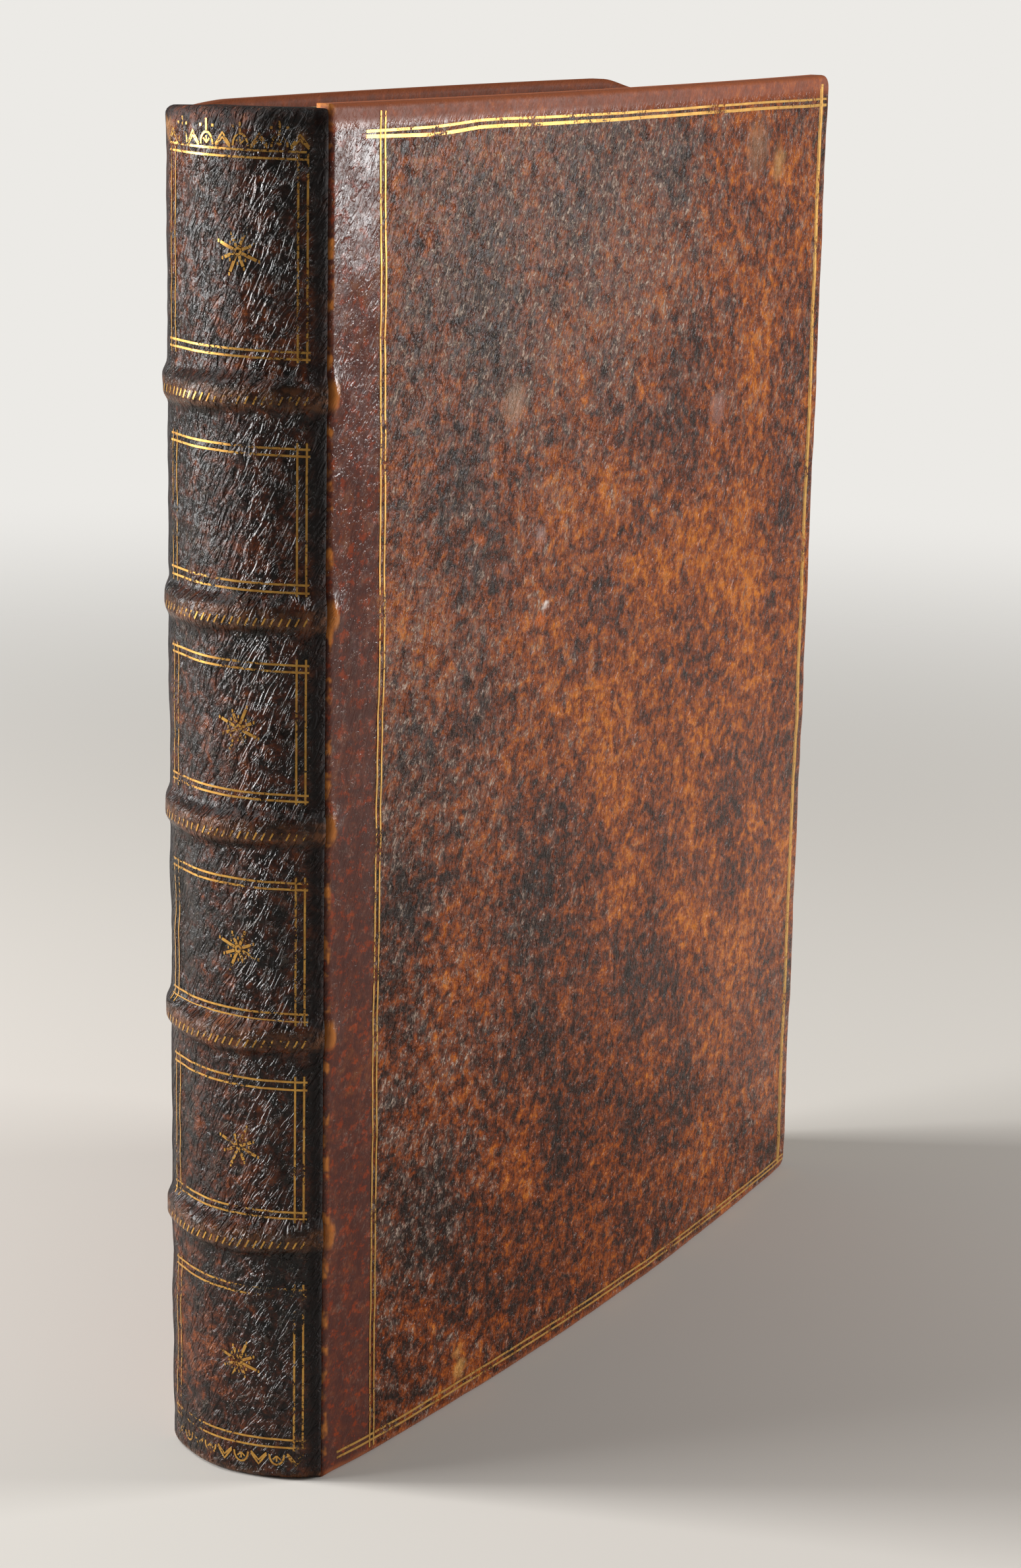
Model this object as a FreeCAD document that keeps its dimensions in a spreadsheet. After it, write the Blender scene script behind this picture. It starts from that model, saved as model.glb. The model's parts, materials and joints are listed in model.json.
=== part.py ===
import FreeCAD, Part
import math
import os
import Sketcher

# Antique quarto in full mottled calf: two laced pasteboard covers on a text block
# that is sewn on five raised cords, rounded and backed. It stands on its tail edges.
# +Z runs from tail to head, -Y is the front cover, +X is the fore-edge.
# The origin is under the middle of the closed book, on the surface it stands on.
# Every outline is drawn from the joint line, where the covers meet the spine.

doc = FreeCAD.newDocument("antique_leather_book")
vector = FreeCAD.Vector

# Millimetres within which an edge counts as lying on a line
NEAR = 0.01

# Driving dimensions in millimetres
DRIVING_SIZES = [
    ("cover_height", "268", "tail edge to head edge of the covers"),
    ("cover_width", "208", "joint ridge to fore-edge of the covers"),
    ("joint_thickness", "37.5", "over both covers at the joints"),
    ("cover_bow", "5", "how far a cover bellies outwards at its middle"),
    ("leather_thickness", "0.9", "calf over boards and spine"),
    ("board_thickness", "3", "pasteboard"),
    ("turn_in_width", "15", "leather folded over the inside of a board"),
    ("turn_in_thickness", "0.5", "pared leather of the turn-ins"),
    ("edge_bevel", "0.9", "leather drawn over the board edges"),
    ("corner_round", "3", "worn fore-edge corners of the covers"),
    ("ridge_round", "1.4", "leather round the joint edge of a board"),
    ("pastedown_margin", "5", "turn-in left bare round a pastedown"),
    ("sheet_thickness", "0.25", "endpaper"),
    ("sheet_gap", "0.3", "air between a pastedown and the free endpaper"),
    ("fit_gap", "0.05", "room between glued pieces"),
    ("square", "3.5", "how far the covers stand beyond the leaves"),
    ("fore_hollow", "6", "hollow of the fore-edge"),
    ("spine_rise", "8.3", "round of the spine beyond the joint ridges"),
    ("groove_depth", "1.3", "spine leather below the cover face in the joint"),
    ("shoulder_gap", "0.35", "room between backed shoulder and board edge"),
    ("lining_thickness", "0.3", "paper strips glued between the cords"),
    ("band_count", "5", "raised bands"),
    ("tail_panel_height", "51.3", "tail to the middle of the lowest band"),
    ("head_panel_height", "52.3", "head to the middle of the highest band"),
    ("band_width", "6.4", "raised band along the spine"),
    ("band_rise", "2.8", "raised band over the middle of the spine"),
    ("band_end_rise", "1", "raised band over the spine at the joints"),
    ("headband_size", "2.6", "worked headband, across its roll"),
    ("cap_depth", "5", "leather turned over the headbands"),
    ("cap_round", "1.4", "leather round the head and tail caps"),
    ("slip_width", "5", "frayed cord end laid in the board"),
    ("slip_sink", "1.2", "depth of that cord end in the board"),
    ("slip_reach", "12", "joint ridge to the lacing hole"),
    ("lacing_hole", "2.6", "lacing hole along the board"),
]

sizes = doc.addObject("Spreadsheet::Sheet", "Sizes")
for row, (name, value, meaning) in enumerate(DRIVING_SIZES, start=1):
    sizes.set(f"A{row}", name)
    sizes.set(f"B{row}", value)
    sizes.set(f"C{row}", meaning)
    sizes.setAlias(f"B{row}", name)

# Sizes that follow from the driving ones
derived = doc.addObject("App::VarSet", "Derived")


def follow(name, rule):
    """Keep one worked-out size under a name of its own."""
    derived.addProperty("App::PropertyFloat", name)
    derived.setExpression(name, rule)


follow("half_thickness", "Sizes.joint_thickness / 2")
follow("cover_thickness", "Sizes.leather_thickness + Sizes.board_thickness")
follow("bow_radius", "(Sizes.cover_width^2 / 4 + Sizes.cover_bow^2) / (2 * Sizes.cover_bow)")
follow("bow_centre", "Derived.bow_radius - Sizes.cover_bow - Derived.half_thickness")
follow("spine_half", "Derived.half_thickness - Sizes.groove_depth")
follow("spine_sag", "Sizes.spine_rise - Sizes.shoulder_gap")
follow("spine_radius", "(Derived.spine_half^2 + Derived.spine_sag^2) / (2 * Derived.spine_sag)")
follow("spine_centre", "Derived.spine_radius - Sizes.spine_rise")
follow("lining_radius", "Derived.spine_radius - Sizes.leather_thickness - Sizes.fit_gap")
follow("back_radius", "Derived.lining_radius - Sizes.lining_thickness")
follow("band_pitch",
       "(Sizes.cover_height - Sizes.tail_panel_height - Sizes.head_panel_height) / (Sizes.band_count - 1)")
follow("band_end_scale", "1 + Sizes.band_end_rise / Derived.spine_radius")
follow("band_half", "Derived.spine_half * Derived.band_end_scale")
follow("band_sag",
       "Sizes.spine_rise + Sizes.band_rise + Derived.spine_centre"
       " - (Derived.spine_centre + Sizes.shoulder_gap) * Derived.band_end_scale")
follow("band_radius", "(Derived.band_half^2 + Derived.band_sag^2) / (2 * Derived.band_sag)")
follow("band_centre", "Derived.band_radius - Sizes.spine_rise - Sizes.band_rise")
follow("cord_size", "Sizes.band_rise + Sizes.lining_thickness")
follow("cord_line", "Derived.band_radius - Sizes.leather_thickness - Derived.cord_size / 2")
follow("leaf_depth",
       "Derived.cover_thickness + 2 * Sizes.sheet_thickness"
       " + Sizes.sheet_gap + 2 * Sizes.fit_gap")
follow("leaf_fore", "Sizes.cover_width - Sizes.square")
follow("leaf_height", "Sizes.cover_height - 2 * Sizes.square")
follow("middle_x", "(Sizes.spine_rise + Sizes.band_rise - Sizes.cover_width) / 2")
doc.recompute()


def number(rule):
    """The present value of a size or of a rule between sizes."""
    return float(sizes.evalExpression(str(rule)))


# Lines in the plan of the book, as rules in x and y
def cover_face(side, x, depth):
    """Height over the middle plane of the bowed face that lies depth below the leather."""
    drop = f"sqrt((Derived.bow_radius - ({depth}))^2 - (({x}) - Sizes.cover_width / 2)^2)"
    return f"{side} * ({drop} - Derived.bow_centre)"


def bow_arc(depth):
    """Radius of that bowed face."""
    return f"Derived.bow_radius - ({depth})"


def spine_edge(radius):
    """Half chord of a round of the spine where it meets the shoulders."""
    reach = "(Derived.spine_centre + Sizes.shoulder_gap)"
    return f"sqrt(({radius})^2 - {reach}^2)"


# Drawing and feature tools
def new_body(label):
    """One sub-part, moved from the joint line to the middle of the closed book."""
    body = doc.addObject("PartDesign::Body", label)
    body.Label = label
    body.setExpression(".Placement.Base.x", "Derived.middle_x")
    return body


def bend_edge(first, second, radius, turn):
    """Arc between two corners; turn is 1 where it runs counterclockwise and -1 where clockwise."""
    chord = second - first
    middle = (first + second) * 0.5
    rise = math.sqrt(max(radius ** 2 - (chord.Length / 2) ** 2, 0))
    left = vector(-chord.y, chord.x, 0).normalize()
    centre = middle + left * (rise * turn)
    start, end = (first, second) if turn > 0 else (second, first)
    start_angle = math.atan2(start.y - centre.y, start.x - centre.x)
    end_angle = math.atan2(end.y - centre.y, end.x - centre.x)
    circle = Part.Circle(centre, vector(0, 0, 1), radius)
    return Part.ArcOfCircle(circle, start_angle, end_angle)


def draw(body, name, plane, corners, across="0", up="0", out="0"):
    """Closed outline on one of the body's own planes. Each corner is x, y and the edge after it:
    None for a straight one, or its radius and turn. The last three move the sketch."""
    sketch = body.newObject("Sketcher::SketchObject", f"{body.Name}_{name}")
    support = [item for item in body.Origin.OriginFeatures if item.Role == plane]
    sketch.AttachmentSupport = [(support[0], "")]
    sketch.MapMode = "FlatFace"
    sketch.setExpression(".AttachmentOffset.Base.x", across)
    sketch.setExpression(".AttachmentOffset.Base.y", up)
    sketch.setExpression(".AttachmentOffset.Base.z", out)
    spots = [vector(number(x), number(y), 0) for x, y, edge in corners]
    ends = []
    for place, (x, y, edge) in enumerate(corners):
        first = spots[place]
        second = spots[(place + 1) % len(spots)]
        if edge is None:
            sketch.addGeometry(Part.LineSegment(first, second), False)
            ends.append((1, 2))
        else:
            radius, turn = edge
            sketch.addGeometry(bend_edge(first, second, number(radius), turn), False)
            ends.append((1, 2) if turn > 0 else (2, 1))
    for place in range(len(corners)):
        after = (place + 1) % len(corners)
        sketch.addConstraint(
            Sketcher.Constraint("Coincident", place, ends[place][1], after, ends[after][0]))
    for place, (x, y, edge) in enumerate(corners):
        corner = (place, ends[place][0])
        for kind, rule, value in (("DistanceX", x, spots[place].x), ("DistanceY", y, spots[place].y)):
            mark = sketch.addConstraint(Sketcher.Constraint(kind, -1, 1, *corner, value))
            sketch.setExpression(f"Constraints[{mark}]", rule)
        if edge is not None:
            mark = sketch.addConstraint(Sketcher.Constraint("Radius", place, number(edge[0])))
            sketch.setExpression(f"Constraints[{mark}]", edge[0])
    return sketch


CORD_FACES = 6


def draw_cord(body, name, x, y, size, across):
    """Section of a cord, or of its seat, on the body's upright plane. A cord is plain: its
    round is six flats, the outermost of them parallel to the leather over it."""
    corners = []
    for place in range(CORD_FACES):
        turn = 360 * (place + 0.5) / CORD_FACES
        corners.append((f"({x}) + ({size}) / 2 * cos({turn})", f"({y}) + ({size}) / 2 * sin({turn})", None))
    return draw(body, name, "XZ_Plane", corners, across=across)


def pad(body, sketch, length):
    """Raise a plan outline towards the head."""
    feature = body.newObject("PartDesign::Pad", f"{sketch.Name}_pad")
    feature.Profile = sketch
    feature.setExpression("Length", length)
    doc.recompute()
    return feature


def pocket(body, sketch, length):
    """Cut a plan outline towards the head, and check that it cut."""
    before = body.Shape.Volume
    feature = body.newObject("PartDesign::Pocket", f"{sketch.Name}_cut")
    feature.Profile = sketch
    feature.Reversed = True
    feature.setExpression("Length", length)
    doc.recompute()
    if body.Shape.Volume >= before:
        raise RuntimeError(f"{feature.Name} cuts nothing")
    return feature


def turn_about(body, sketch, half_angle, kind):
    """Turn an upright outline round the sketch's own upright axis, as much to each side."""
    feature = body.newObject(f"PartDesign::{kind}", f"{sketch.Name}_turn")
    feature.Profile = sketch
    feature.ReferenceAxis = (sketch, ["V_Axis"])
    feature.Midplane = True
    feature.setExpression("Angle", f"2 * ({half_angle})")
    doc.recompute()
    return feature


def repeat_up(body, feature):
    """Repeat a feature at every raised band."""
    pattern = body.newObject("PartDesign::LinearPattern", f"{feature.Name}_rows")
    pattern.Originals = [feature]
    axis = [item for item in body.Origin.OriginFeatures if item.Role == "Z_Axis"]
    pattern.Direction = (axis[0], [""])
    pattern.setExpression("Length", "Derived.band_pitch * (Sizes.band_count - 1)")
    pattern.setExpression("Occurrences", "Sizes.band_count")
    body.Tip = pattern
    doc.recompute()
    return pattern


def soften_edges(body, feature, name, kind, size, chosen):
    """Fillet or chamfer the edges of a feature that a test picks."""
    names = [f"Edge{place}" for place, edge in enumerate(feature.Shape.Edges, start=1) if chosen(edge)]
    if not names:
        raise RuntimeError(f"{body.Name} has no edge for {name}")
    softened = body.newObject(f"PartDesign::{kind}", f"{body.Name}_{name}")
    softened.Base = (feature, names)
    softened.setExpression("Radius" if kind == "Fillet" else "Size", size)
    doc.recompute()
    return softened


def ring_part(inner, outer):
    """Plan of a strip of the spine between two radii, cut off square at the shoulders."""
    return [
        ("-Sizes.shoulder_gap", spine_edge(outer), (outer, 1)),
        ("-Sizes.shoulder_gap", f"-({spine_edge(outer)})", None),
        ("-Sizes.shoulder_gap", f"-({spine_edge(inner)})", (inner, -1)),
        ("-Sizes.shoulder_gap", spine_edge(inner), None),
    ]


def cover_strip(side, near, far, top, bottom):
    """Plan of a layer of a cover, from near to far of the joint and between two depths."""
    return [
        (near, cover_face(side, near, top), (bow_arc(top), -side)),
        (far, cover_face(side, far, top), None),
        (far, cover_face(side, far, bottom), (bow_arc(bottom), side)),
        (near, cover_face(side, near, bottom), None),
    ]


# Half the turn of a cord's seat, which runs out beyond both shoulders
SEAT_TURN = "80"


def cut_cord_seats(body):
    """The seat of every cord, a fit gap wider than the cord all round."""
    seat = draw_cord(body, "cord_seat", "-Derived.cord_line", "Sizes.tail_panel_height",
                     "Derived.cord_size + 2 * Sizes.fit_gap", "Derived.band_centre")
    repeat_up(body, turn_about(body, seat, SEAT_TURN, "Groove"))


# Text block: sewn gatherings, rounded and backed, with a hollow fore-edge
def make_text_block():
    body = new_body("text_block")
    shoulder = "-Sizes.shoulder_gap"
    back = spine_edge("Derived.back_radius")
    depth = "Derived.leaf_depth"
    fore = "Derived.leaf_fore"
    fore_half = cover_face(1, fore, depth)
    hollow = f"(({fore_half})^2 + Sizes.fore_hollow^2) / (2 * Sizes.fore_hollow)"
    plan = draw(body, "plan", "XY_Plane", [
        (shoulder, back, ("Derived.back_radius", 1)),
        (shoulder, f"-({back})", None),
        (shoulder, cover_face(-1, shoulder, depth), (bow_arc(depth), 1)),
        (fore, cover_face(-1, fore, depth), (hollow, -1)),
        (fore, fore_half, (bow_arc(depth), 1)),
        (shoulder, cover_face(1, shoulder, depth), None),
    ], out="Sizes.square")
    pad(body, plan, "Derived.leaf_height")
    cut_cord_seats(body)


# Sewing supports: a hemp cord under each raised band
def cord_half_angle():
    """Half the turn of a cord, which ends at the shoulders."""
    reach = "(Derived.band_centre + Sizes.shoulder_gap + Derived.cord_size / 2)"
    return f"acos({reach} / Derived.cord_line)"


def make_band_cords():
    for place in range(int(number("Sizes.band_count"))):
        body = new_body(f"band_cord_{place + 1}")
        height = f"Sizes.tail_panel_height + {place} * Derived.band_pitch"
        section = draw_cord(body, "section", "-Derived.cord_line", height,
                            "Derived.cord_size", "Derived.band_centre")
        turn_about(body, section, cord_half_angle(), "Revolution")


# Spine linings: paper strips glued to the back between the cords
def make_spine_linings():
    count = int(number("Sizes.band_count"))
    for place in range(count + 1):
        body = new_body(f"spine_lining_{place + 1}")
        low = "Sizes.square"
        high = "Sizes.cover_height - Sizes.square"
        if place > 0:
            low = f"Sizes.tail_panel_height + {place - 1} * Derived.band_pitch + Sizes.band_width / 2"
        if place < count:
            high = f"Sizes.tail_panel_height + {place} * Derived.band_pitch - Sizes.band_width / 2"
        inner = "Derived.back_radius + Sizes.fit_gap"
        plan = draw(body, "plan", "XY_Plane", ring_part(inner, "Derived.lining_radius"), out=low)
        pad(body, plan, f"({high}) - ({low})")


# Outline of a raised band, foot to crest, as shares of its rise and of its half width
BAND_OUTLINE = [(0, 1), (0.62, 0.86), (1, 0.42)]


# Spine leather: calf moulded over the cords, with a cap over each headband
def make_spine_leather():
    body = new_body("spine_leather")
    inner = "Derived.lining_radius + Sizes.fit_gap"
    inner_edge = f"sqrt(({inner})^2 - Derived.spine_centre^2)"
    plan = draw(body, "plan", "XY_Plane", ring_part(inner, "Derived.spine_radius"))
    pad(body, plan, "Sizes.cover_height")
    half = "Sizes.band_width / 2"
    foot = "Derived.band_radius - Sizes.band_rise - Sizes.leather_thickness / 2"
    crest = "(Sizes.band_rise + Sizes.leather_thickness / 2)"
    lower = [(rise, -width) for rise, width in BAND_OUTLINE]
    upper = [(rise, width) for rise, width in reversed(BAND_OUTLINE)]
    corners = [(f"-({foot}) - {rise} * {crest}", f"{width} * {half}", None) for rise, width in lower + upper]
    ridge = draw(body, "band", "XZ_Plane", corners,
                 across="Derived.band_centre", up="Sizes.tail_panel_height")
    reach = "(Derived.band_centre + Sizes.shoulder_gap)"
    band = turn_about(body, ridge, f"acos({reach} / ({foot}))", "Revolution")
    repeat_up(body, band)
    room = draw(body, "room", "XY_Plane", [
        ("0", inner_edge, (inner, 1)),
        ("0", f"-({inner_edge})", None),
    ])
    pocket(body, room, "Sizes.cover_height")
    cut_cord_seats(body)
    turned = "Derived.spine_radius - Sizes.cap_depth"
    for name, height in (("tail_cap", "0"), ("head_cap", "Sizes.cover_height - Sizes.leather_thickness")):
        lip = draw(body, name, "XY_Plane", ring_part(turned, "Derived.spine_radius"), out=height)
        pad(body, lip, "Sizes.leather_thickness")

    def on_cap(edge):
        box = edge.BoundBox
        level = abs(box.ZMin) < NEAR or abs(box.ZMax - number("Sizes.cover_height")) < NEAR
        curve = edge.Curve
        round_one = isinstance(curve, Part.Circle)
        return level and round_one and abs(curve.Radius - number("Derived.spine_radius")) < NEAR

    soften_edges(body, body.Tip, "cap_edges", "Fillet", "Sizes.cap_round", on_cap)


# Headbands: rolls worked on the head and tail of the back, under the caps
def make_headband(label, height):
    body = new_body(label)
    line = "Derived.back_radius - Sizes.headband_size / 2"
    section = draw_cord(body, "section", f"-({line})", height, "Sizes.headband_size",
                        "Derived.spine_centre")
    reach = "(Derived.spine_centre + Sizes.shoulder_gap + Sizes.headband_size / 2)"
    turn_about(body, section, f"acos({reach} / ({line}))", "Revolution")


# Covers: pasteboard in calf, with turn-ins, a pastedown and laced-in cord ends
def cover_leather_plan(side):
    return cover_strip(side, "0", "Sizes.cover_width", "0", "Derived.cover_thickness")


def board_plan(side, gap):
    """Plan of the board, or of its bed in the leather where there is a gap."""
    near = f"Sizes.leather_thickness - ({gap})"
    far = f"Sizes.cover_width - Sizes.leather_thickness + ({gap})"
    top = f"Sizes.leather_thickness - ({gap})"
    bottom = f"Derived.cover_thickness - Sizes.turn_in_thickness + ({gap})"
    return cover_strip(side, near, far, top, bottom)


def window_plan(side, gap):
    """Plan of the part of the board that the turn-ins leave free."""
    near = f"Sizes.leather_thickness - ({gap})"
    far = f"Sizes.cover_width - Sizes.turn_in_width + ({gap})"
    top = "Derived.cover_thickness - Sizes.turn_in_thickness - Sizes.leather_thickness"
    return cover_strip(side, near, far, top, "Derived.cover_thickness")


def slip_plan(side):
    """Plan of a cord end: along the outside of the board, then through the lacing hole."""
    near = "Sizes.leather_thickness"
    turn = "Sizes.slip_reach - Sizes.lacing_hole"
    far = "Sizes.slip_reach"
    top = "Sizes.leather_thickness"
    under = "Sizes.leather_thickness + Sizes.slip_sink"
    foot = "Derived.cover_thickness - Sizes.turn_in_thickness"
    return [
        (near, cover_face(side, near, top), (bow_arc(top), -side)),
        (far, cover_face(side, far, top), None),
        (far, cover_face(side, far, foot), (bow_arc(foot), side)),
        (turn, cover_face(side, turn, foot), None),
        (turn, cover_face(side, turn, under), (bow_arc(under), side)),
        (near, cover_face(side, near, under), None),
    ]


def is_corner(edge, far):
    """True for the short level edges across a board at its fore-edge corners."""
    box = edge.BoundBox
    return box.ZMax - box.ZMin < NEAR and box.XMin > far - NEAR


def make_cover_leather(label, side):
    body = new_body(label)
    block = pad(body, draw(body, "plan", "XY_Plane", cover_leather_plan(side)), "Sizes.cover_height")
    width = number("Sizes.cover_width")
    half = number("Derived.half_thickness")

    def on_face(edge):
        return all(side * vertex.Y > half - NEAR for vertex in edge.Vertexes)

    corners = soften_edges(body, block, "corners", "Fillet", "Sizes.corner_round",
                           lambda edge: is_corner(edge, width))
    ridge = soften_edges(body, corners, "joint_ridge", "Fillet", "Sizes.ridge_round",
                         lambda edge: on_face(edge) and edge.BoundBox.XMax < NEAR)
    soften_edges(body, ridge, "board_edges", "Chamfer", "Sizes.edge_bevel",
                 lambda edge: on_face(edge) and edge.BoundBox.XMax > width / 2)
    bed = draw(body, "board_bed", "XY_Plane", board_plan(side, "Sizes.fit_gap"),
               out="Sizes.leather_thickness - Sizes.fit_gap")
    pocket(body, bed, "Sizes.cover_height - 2 * Sizes.leather_thickness + 2 * Sizes.fit_gap")
    window = draw(body, "window", "XY_Plane", window_plan(side, "Sizes.fit_gap"),
                  out="Sizes.turn_in_width - Sizes.fit_gap")
    pocket(body, window, "Sizes.cover_height - 2 * Sizes.turn_in_width + 2 * Sizes.fit_gap")


def make_board(label, side):
    body = new_body(label)
    core = draw(body, "plan", "XY_Plane", board_plan(side, "0"), out="Sizes.leather_thickness")
    block = pad(body, core, "Sizes.cover_height - 2 * Sizes.leather_thickness")
    width = number("Sizes.cover_width - Sizes.leather_thickness")
    soften_edges(body, block, "corners", "Fillet",
                 "Sizes.corner_round - Sizes.leather_thickness + Sizes.fit_gap",
                 lambda edge: is_corner(edge, width))
    middle = draw(body, "window", "XY_Plane", window_plan(side, "0"), out="Sizes.turn_in_width")
    pad(body, middle, "Sizes.cover_height - 2 * Sizes.turn_in_width")
    low = "Sizes.tail_panel_height - Sizes.slip_width / 2"
    channel = draw(body, "slip_channel", "XY_Plane", slip_plan(side), out=low)
    cut = pocket(body, channel, "Sizes.slip_width")
    repeat_up(body, cut)


def make_lacing_slips(label, side):
    body = new_body(label)
    body.AllowCompound = True
    low = "Sizes.tail_panel_height - Sizes.slip_width / 2 + Sizes.fit_gap"
    plan = draw(body, "plan", "XY_Plane", slip_plan(side), out=low)
    slip = pad(body, plan, "Sizes.slip_width - 2 * Sizes.fit_gap")
    repeat_up(body, slip)


def make_pastedown(label, side):
    body = new_body(label)
    far = "Sizes.cover_width - Sizes.pastedown_margin"
    top = "Derived.cover_thickness + Sizes.fit_gap"
    bottom = f"{top} + Sizes.sheet_thickness"
    plan = draw(body, "plan", "XY_Plane",
                cover_strip(side, "Sizes.leather_thickness", far, top, bottom),
                out="Sizes.pastedown_margin")
    pad(body, plan, "Sizes.cover_height - 2 * Sizes.pastedown_margin")


def make_free_endpaper(label, side):
    body = new_body(label)
    bottom = "Derived.leaf_depth - Sizes.fit_gap"
    top = f"{bottom} - Sizes.sheet_thickness"
    plan = draw(body, "plan", "XY_Plane",
                cover_strip(side, "-Sizes.shoulder_gap", "Derived.leaf_fore", top, bottom),
                out="Sizes.square")
    pad(body, plan, "Derived.leaf_height")


def make_cover(name, side):
    make_cover_leather(f"{name}_cover_leather", side)
    make_board(f"{name}_board", side)
    make_lacing_slips(f"{name}_lacing_slips", side)
    make_pastedown(f"{name}_pastedown", side)
    make_free_endpaper(f"{name}_free_endpaper", side)


make_text_block()
make_band_cords()
make_spine_linings()
make_spine_leather()
make_headband("headband", "Sizes.cover_height - Sizes.square + Sizes.headband_size / 2")
make_headband("tailband", "Sizes.square - Sizes.headband_size / 2")
make_cover("front", -1)
make_cover("rear", 1)

# Check every object, then write each sub-part to its own file
doc.recompute()
for item in doc.Objects:
    if "Invalid" in item.State or "Error" in item.State:
        raise RuntimeError(f"{item.Name} failed: {item.State}")

pieces = [item for item in doc.Objects if item.TypeId == "PartDesign::Body"]
for piece in pieces:
    if piece.Shape.isNull() or not piece.Shape.isValid():
        raise RuntimeError(f"{piece.Label} has no valid shape")

os.makedirs("parts", exist_ok=True)
for piece in pieces:
    piece.Shape.exportStep(f"parts/{piece.Label}.step")
    box = piece.Shape.BoundBox
    print(f"{piece.Label}: {len(piece.Shape.Solids)} solids, {piece.Shape.Volume / 1000:.2f} cm3,"
          f" x {box.XMin:.2f} {box.XMax:.2f}, y {box.YMin:.2f} {box.YMax:.2f},"
          f" z {box.ZMin:.2f} {box.ZMax:.2f}")
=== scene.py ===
import json
import math

import bmesh
import bpy
from mathutils import Matrix, Vector, noise


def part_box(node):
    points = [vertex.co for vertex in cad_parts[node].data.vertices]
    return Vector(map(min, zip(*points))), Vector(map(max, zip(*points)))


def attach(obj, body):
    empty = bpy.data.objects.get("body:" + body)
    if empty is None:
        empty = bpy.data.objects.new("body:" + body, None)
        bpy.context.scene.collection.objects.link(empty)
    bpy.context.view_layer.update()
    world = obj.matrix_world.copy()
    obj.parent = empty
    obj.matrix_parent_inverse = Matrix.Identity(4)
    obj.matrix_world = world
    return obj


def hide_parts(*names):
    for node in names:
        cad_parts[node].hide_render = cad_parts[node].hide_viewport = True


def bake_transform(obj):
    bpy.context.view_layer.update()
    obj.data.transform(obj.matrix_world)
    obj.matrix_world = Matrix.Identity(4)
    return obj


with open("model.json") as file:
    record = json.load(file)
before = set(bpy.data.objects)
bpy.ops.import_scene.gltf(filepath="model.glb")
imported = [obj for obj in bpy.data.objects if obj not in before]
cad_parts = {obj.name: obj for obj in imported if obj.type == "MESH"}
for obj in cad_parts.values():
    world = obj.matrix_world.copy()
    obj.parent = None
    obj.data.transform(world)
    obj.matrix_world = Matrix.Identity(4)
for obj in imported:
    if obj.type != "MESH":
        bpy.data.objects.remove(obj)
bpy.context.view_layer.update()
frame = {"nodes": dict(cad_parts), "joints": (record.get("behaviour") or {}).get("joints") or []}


# Camera at the photograph's angle: a long lens a little above the head edge, on
# the spine side, worked out from the cover's edges in the picture.
CAMERA_PLACE = (-0.6033, -0.3512, 0.2979)
CAMERA_YAW = math.radians(30.16)
CAMERA_PITCH = math.radians(14.37)
CAMERA_ROLL = math.radians(1.15)
CAMERA_LENS = 76.08

ahead = Vector((
    math.cos(CAMERA_PITCH) * math.cos(CAMERA_YAW),
    math.cos(CAMERA_PITCH) * math.sin(CAMERA_YAW),
    -math.sin(CAMERA_PITCH),
))
level_right = Vector((math.sin(CAMERA_YAW), -math.cos(CAMERA_YAW), 0))
level_up = level_right.cross(ahead)
right = level_right * math.cos(CAMERA_ROLL) + level_up * math.sin(CAMERA_ROLL)
upward = level_up * math.cos(CAMERA_ROLL) - level_right * math.sin(CAMERA_ROLL)
turned = Matrix((right, upward, -ahead)).transposed().to_4x4()
camera = bpy.data.objects.new("camera", bpy.data.cameras.new("camera"))
camera.matrix_world = Matrix.Translation(CAMERA_PLACE) @ turned
camera.data.lens = CAMERA_LENS
bpy.context.scene.collection.objects.link(camera)
bpy.context.scene.camera = camera
bpy.context.scene.view_settings.view_transform = "Standard"


# Pale paper floor that fades into a pale room. One soft box hangs behind the rear
# cover for the spine, one before the fore-edge for the cover and a small one above.
FLOOR_COLOUR = "c2beb8"
ROOM_COLOUR = "eceae6"
ROOM_LIGHT = 0.25
FLOOR_REACH = 2.2
FLOOR_FADE = 0.35
FLOOR_SIDES = 64

hinge_place = Vector(frame["joints"][0]["pos_m"])
joint_x = hinge_place.x

# Where each soft box hangs, what it is turned to, its side in metres and its watts
SOFT_BOXES = {
    "spine_light": ((-0.56, 0.98, 0.33), (joint_x, 0.0, 0.18), 0.28, 24),
    "cover_light": ((0.62, -0.88, 0.34), (0.0, 0.0, 0.18), 0.34, 13),
    "top_light": ((-0.45, 0.50, 1.05), (joint_x, 0.0, 0.13), 0.35, 6.5),
}


def linear(colour):
    """An sRGB hex colour as the linear values that a shader takes."""
    shares = [int(colour[place:place + 2], 16) / 255 for place in (0, 2, 4)]
    return [x / 12.92 if x <= 0.04045 else ((x + 0.055) / 1.055) ** 2.4 for x in shares] + [1.0]


def add_node(tree, kind, inputs=None, stops=None, **settings):
    """A node with its settings. Each input is a value, or the socket that feeds it."""
    node = tree.nodes.new(kind)
    for name, value in settings.items():
        setattr(node, name, value)
    for key, value in (inputs or {}).items():
        if isinstance(value, bpy.types.NodeSocket):
            tree.links.new(value, node.inputs[key])
        else:
            node.inputs[key].default_value = value
    if stops:
        ramp = node.color_ramp.elements
        while len(ramp) < len(stops):
            ramp.new(1.0)
        for element, (place, colour) in zip(ramp, stops):
            element.position = place
            element.color = linear(colour)
    return node


def reckon(tree, operation, *values):
    """The result of one sum on values or sockets."""
    return add_node(tree, "ShaderNodeMath", dict(enumerate(values)), operation=operation).outputs[0]


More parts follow.
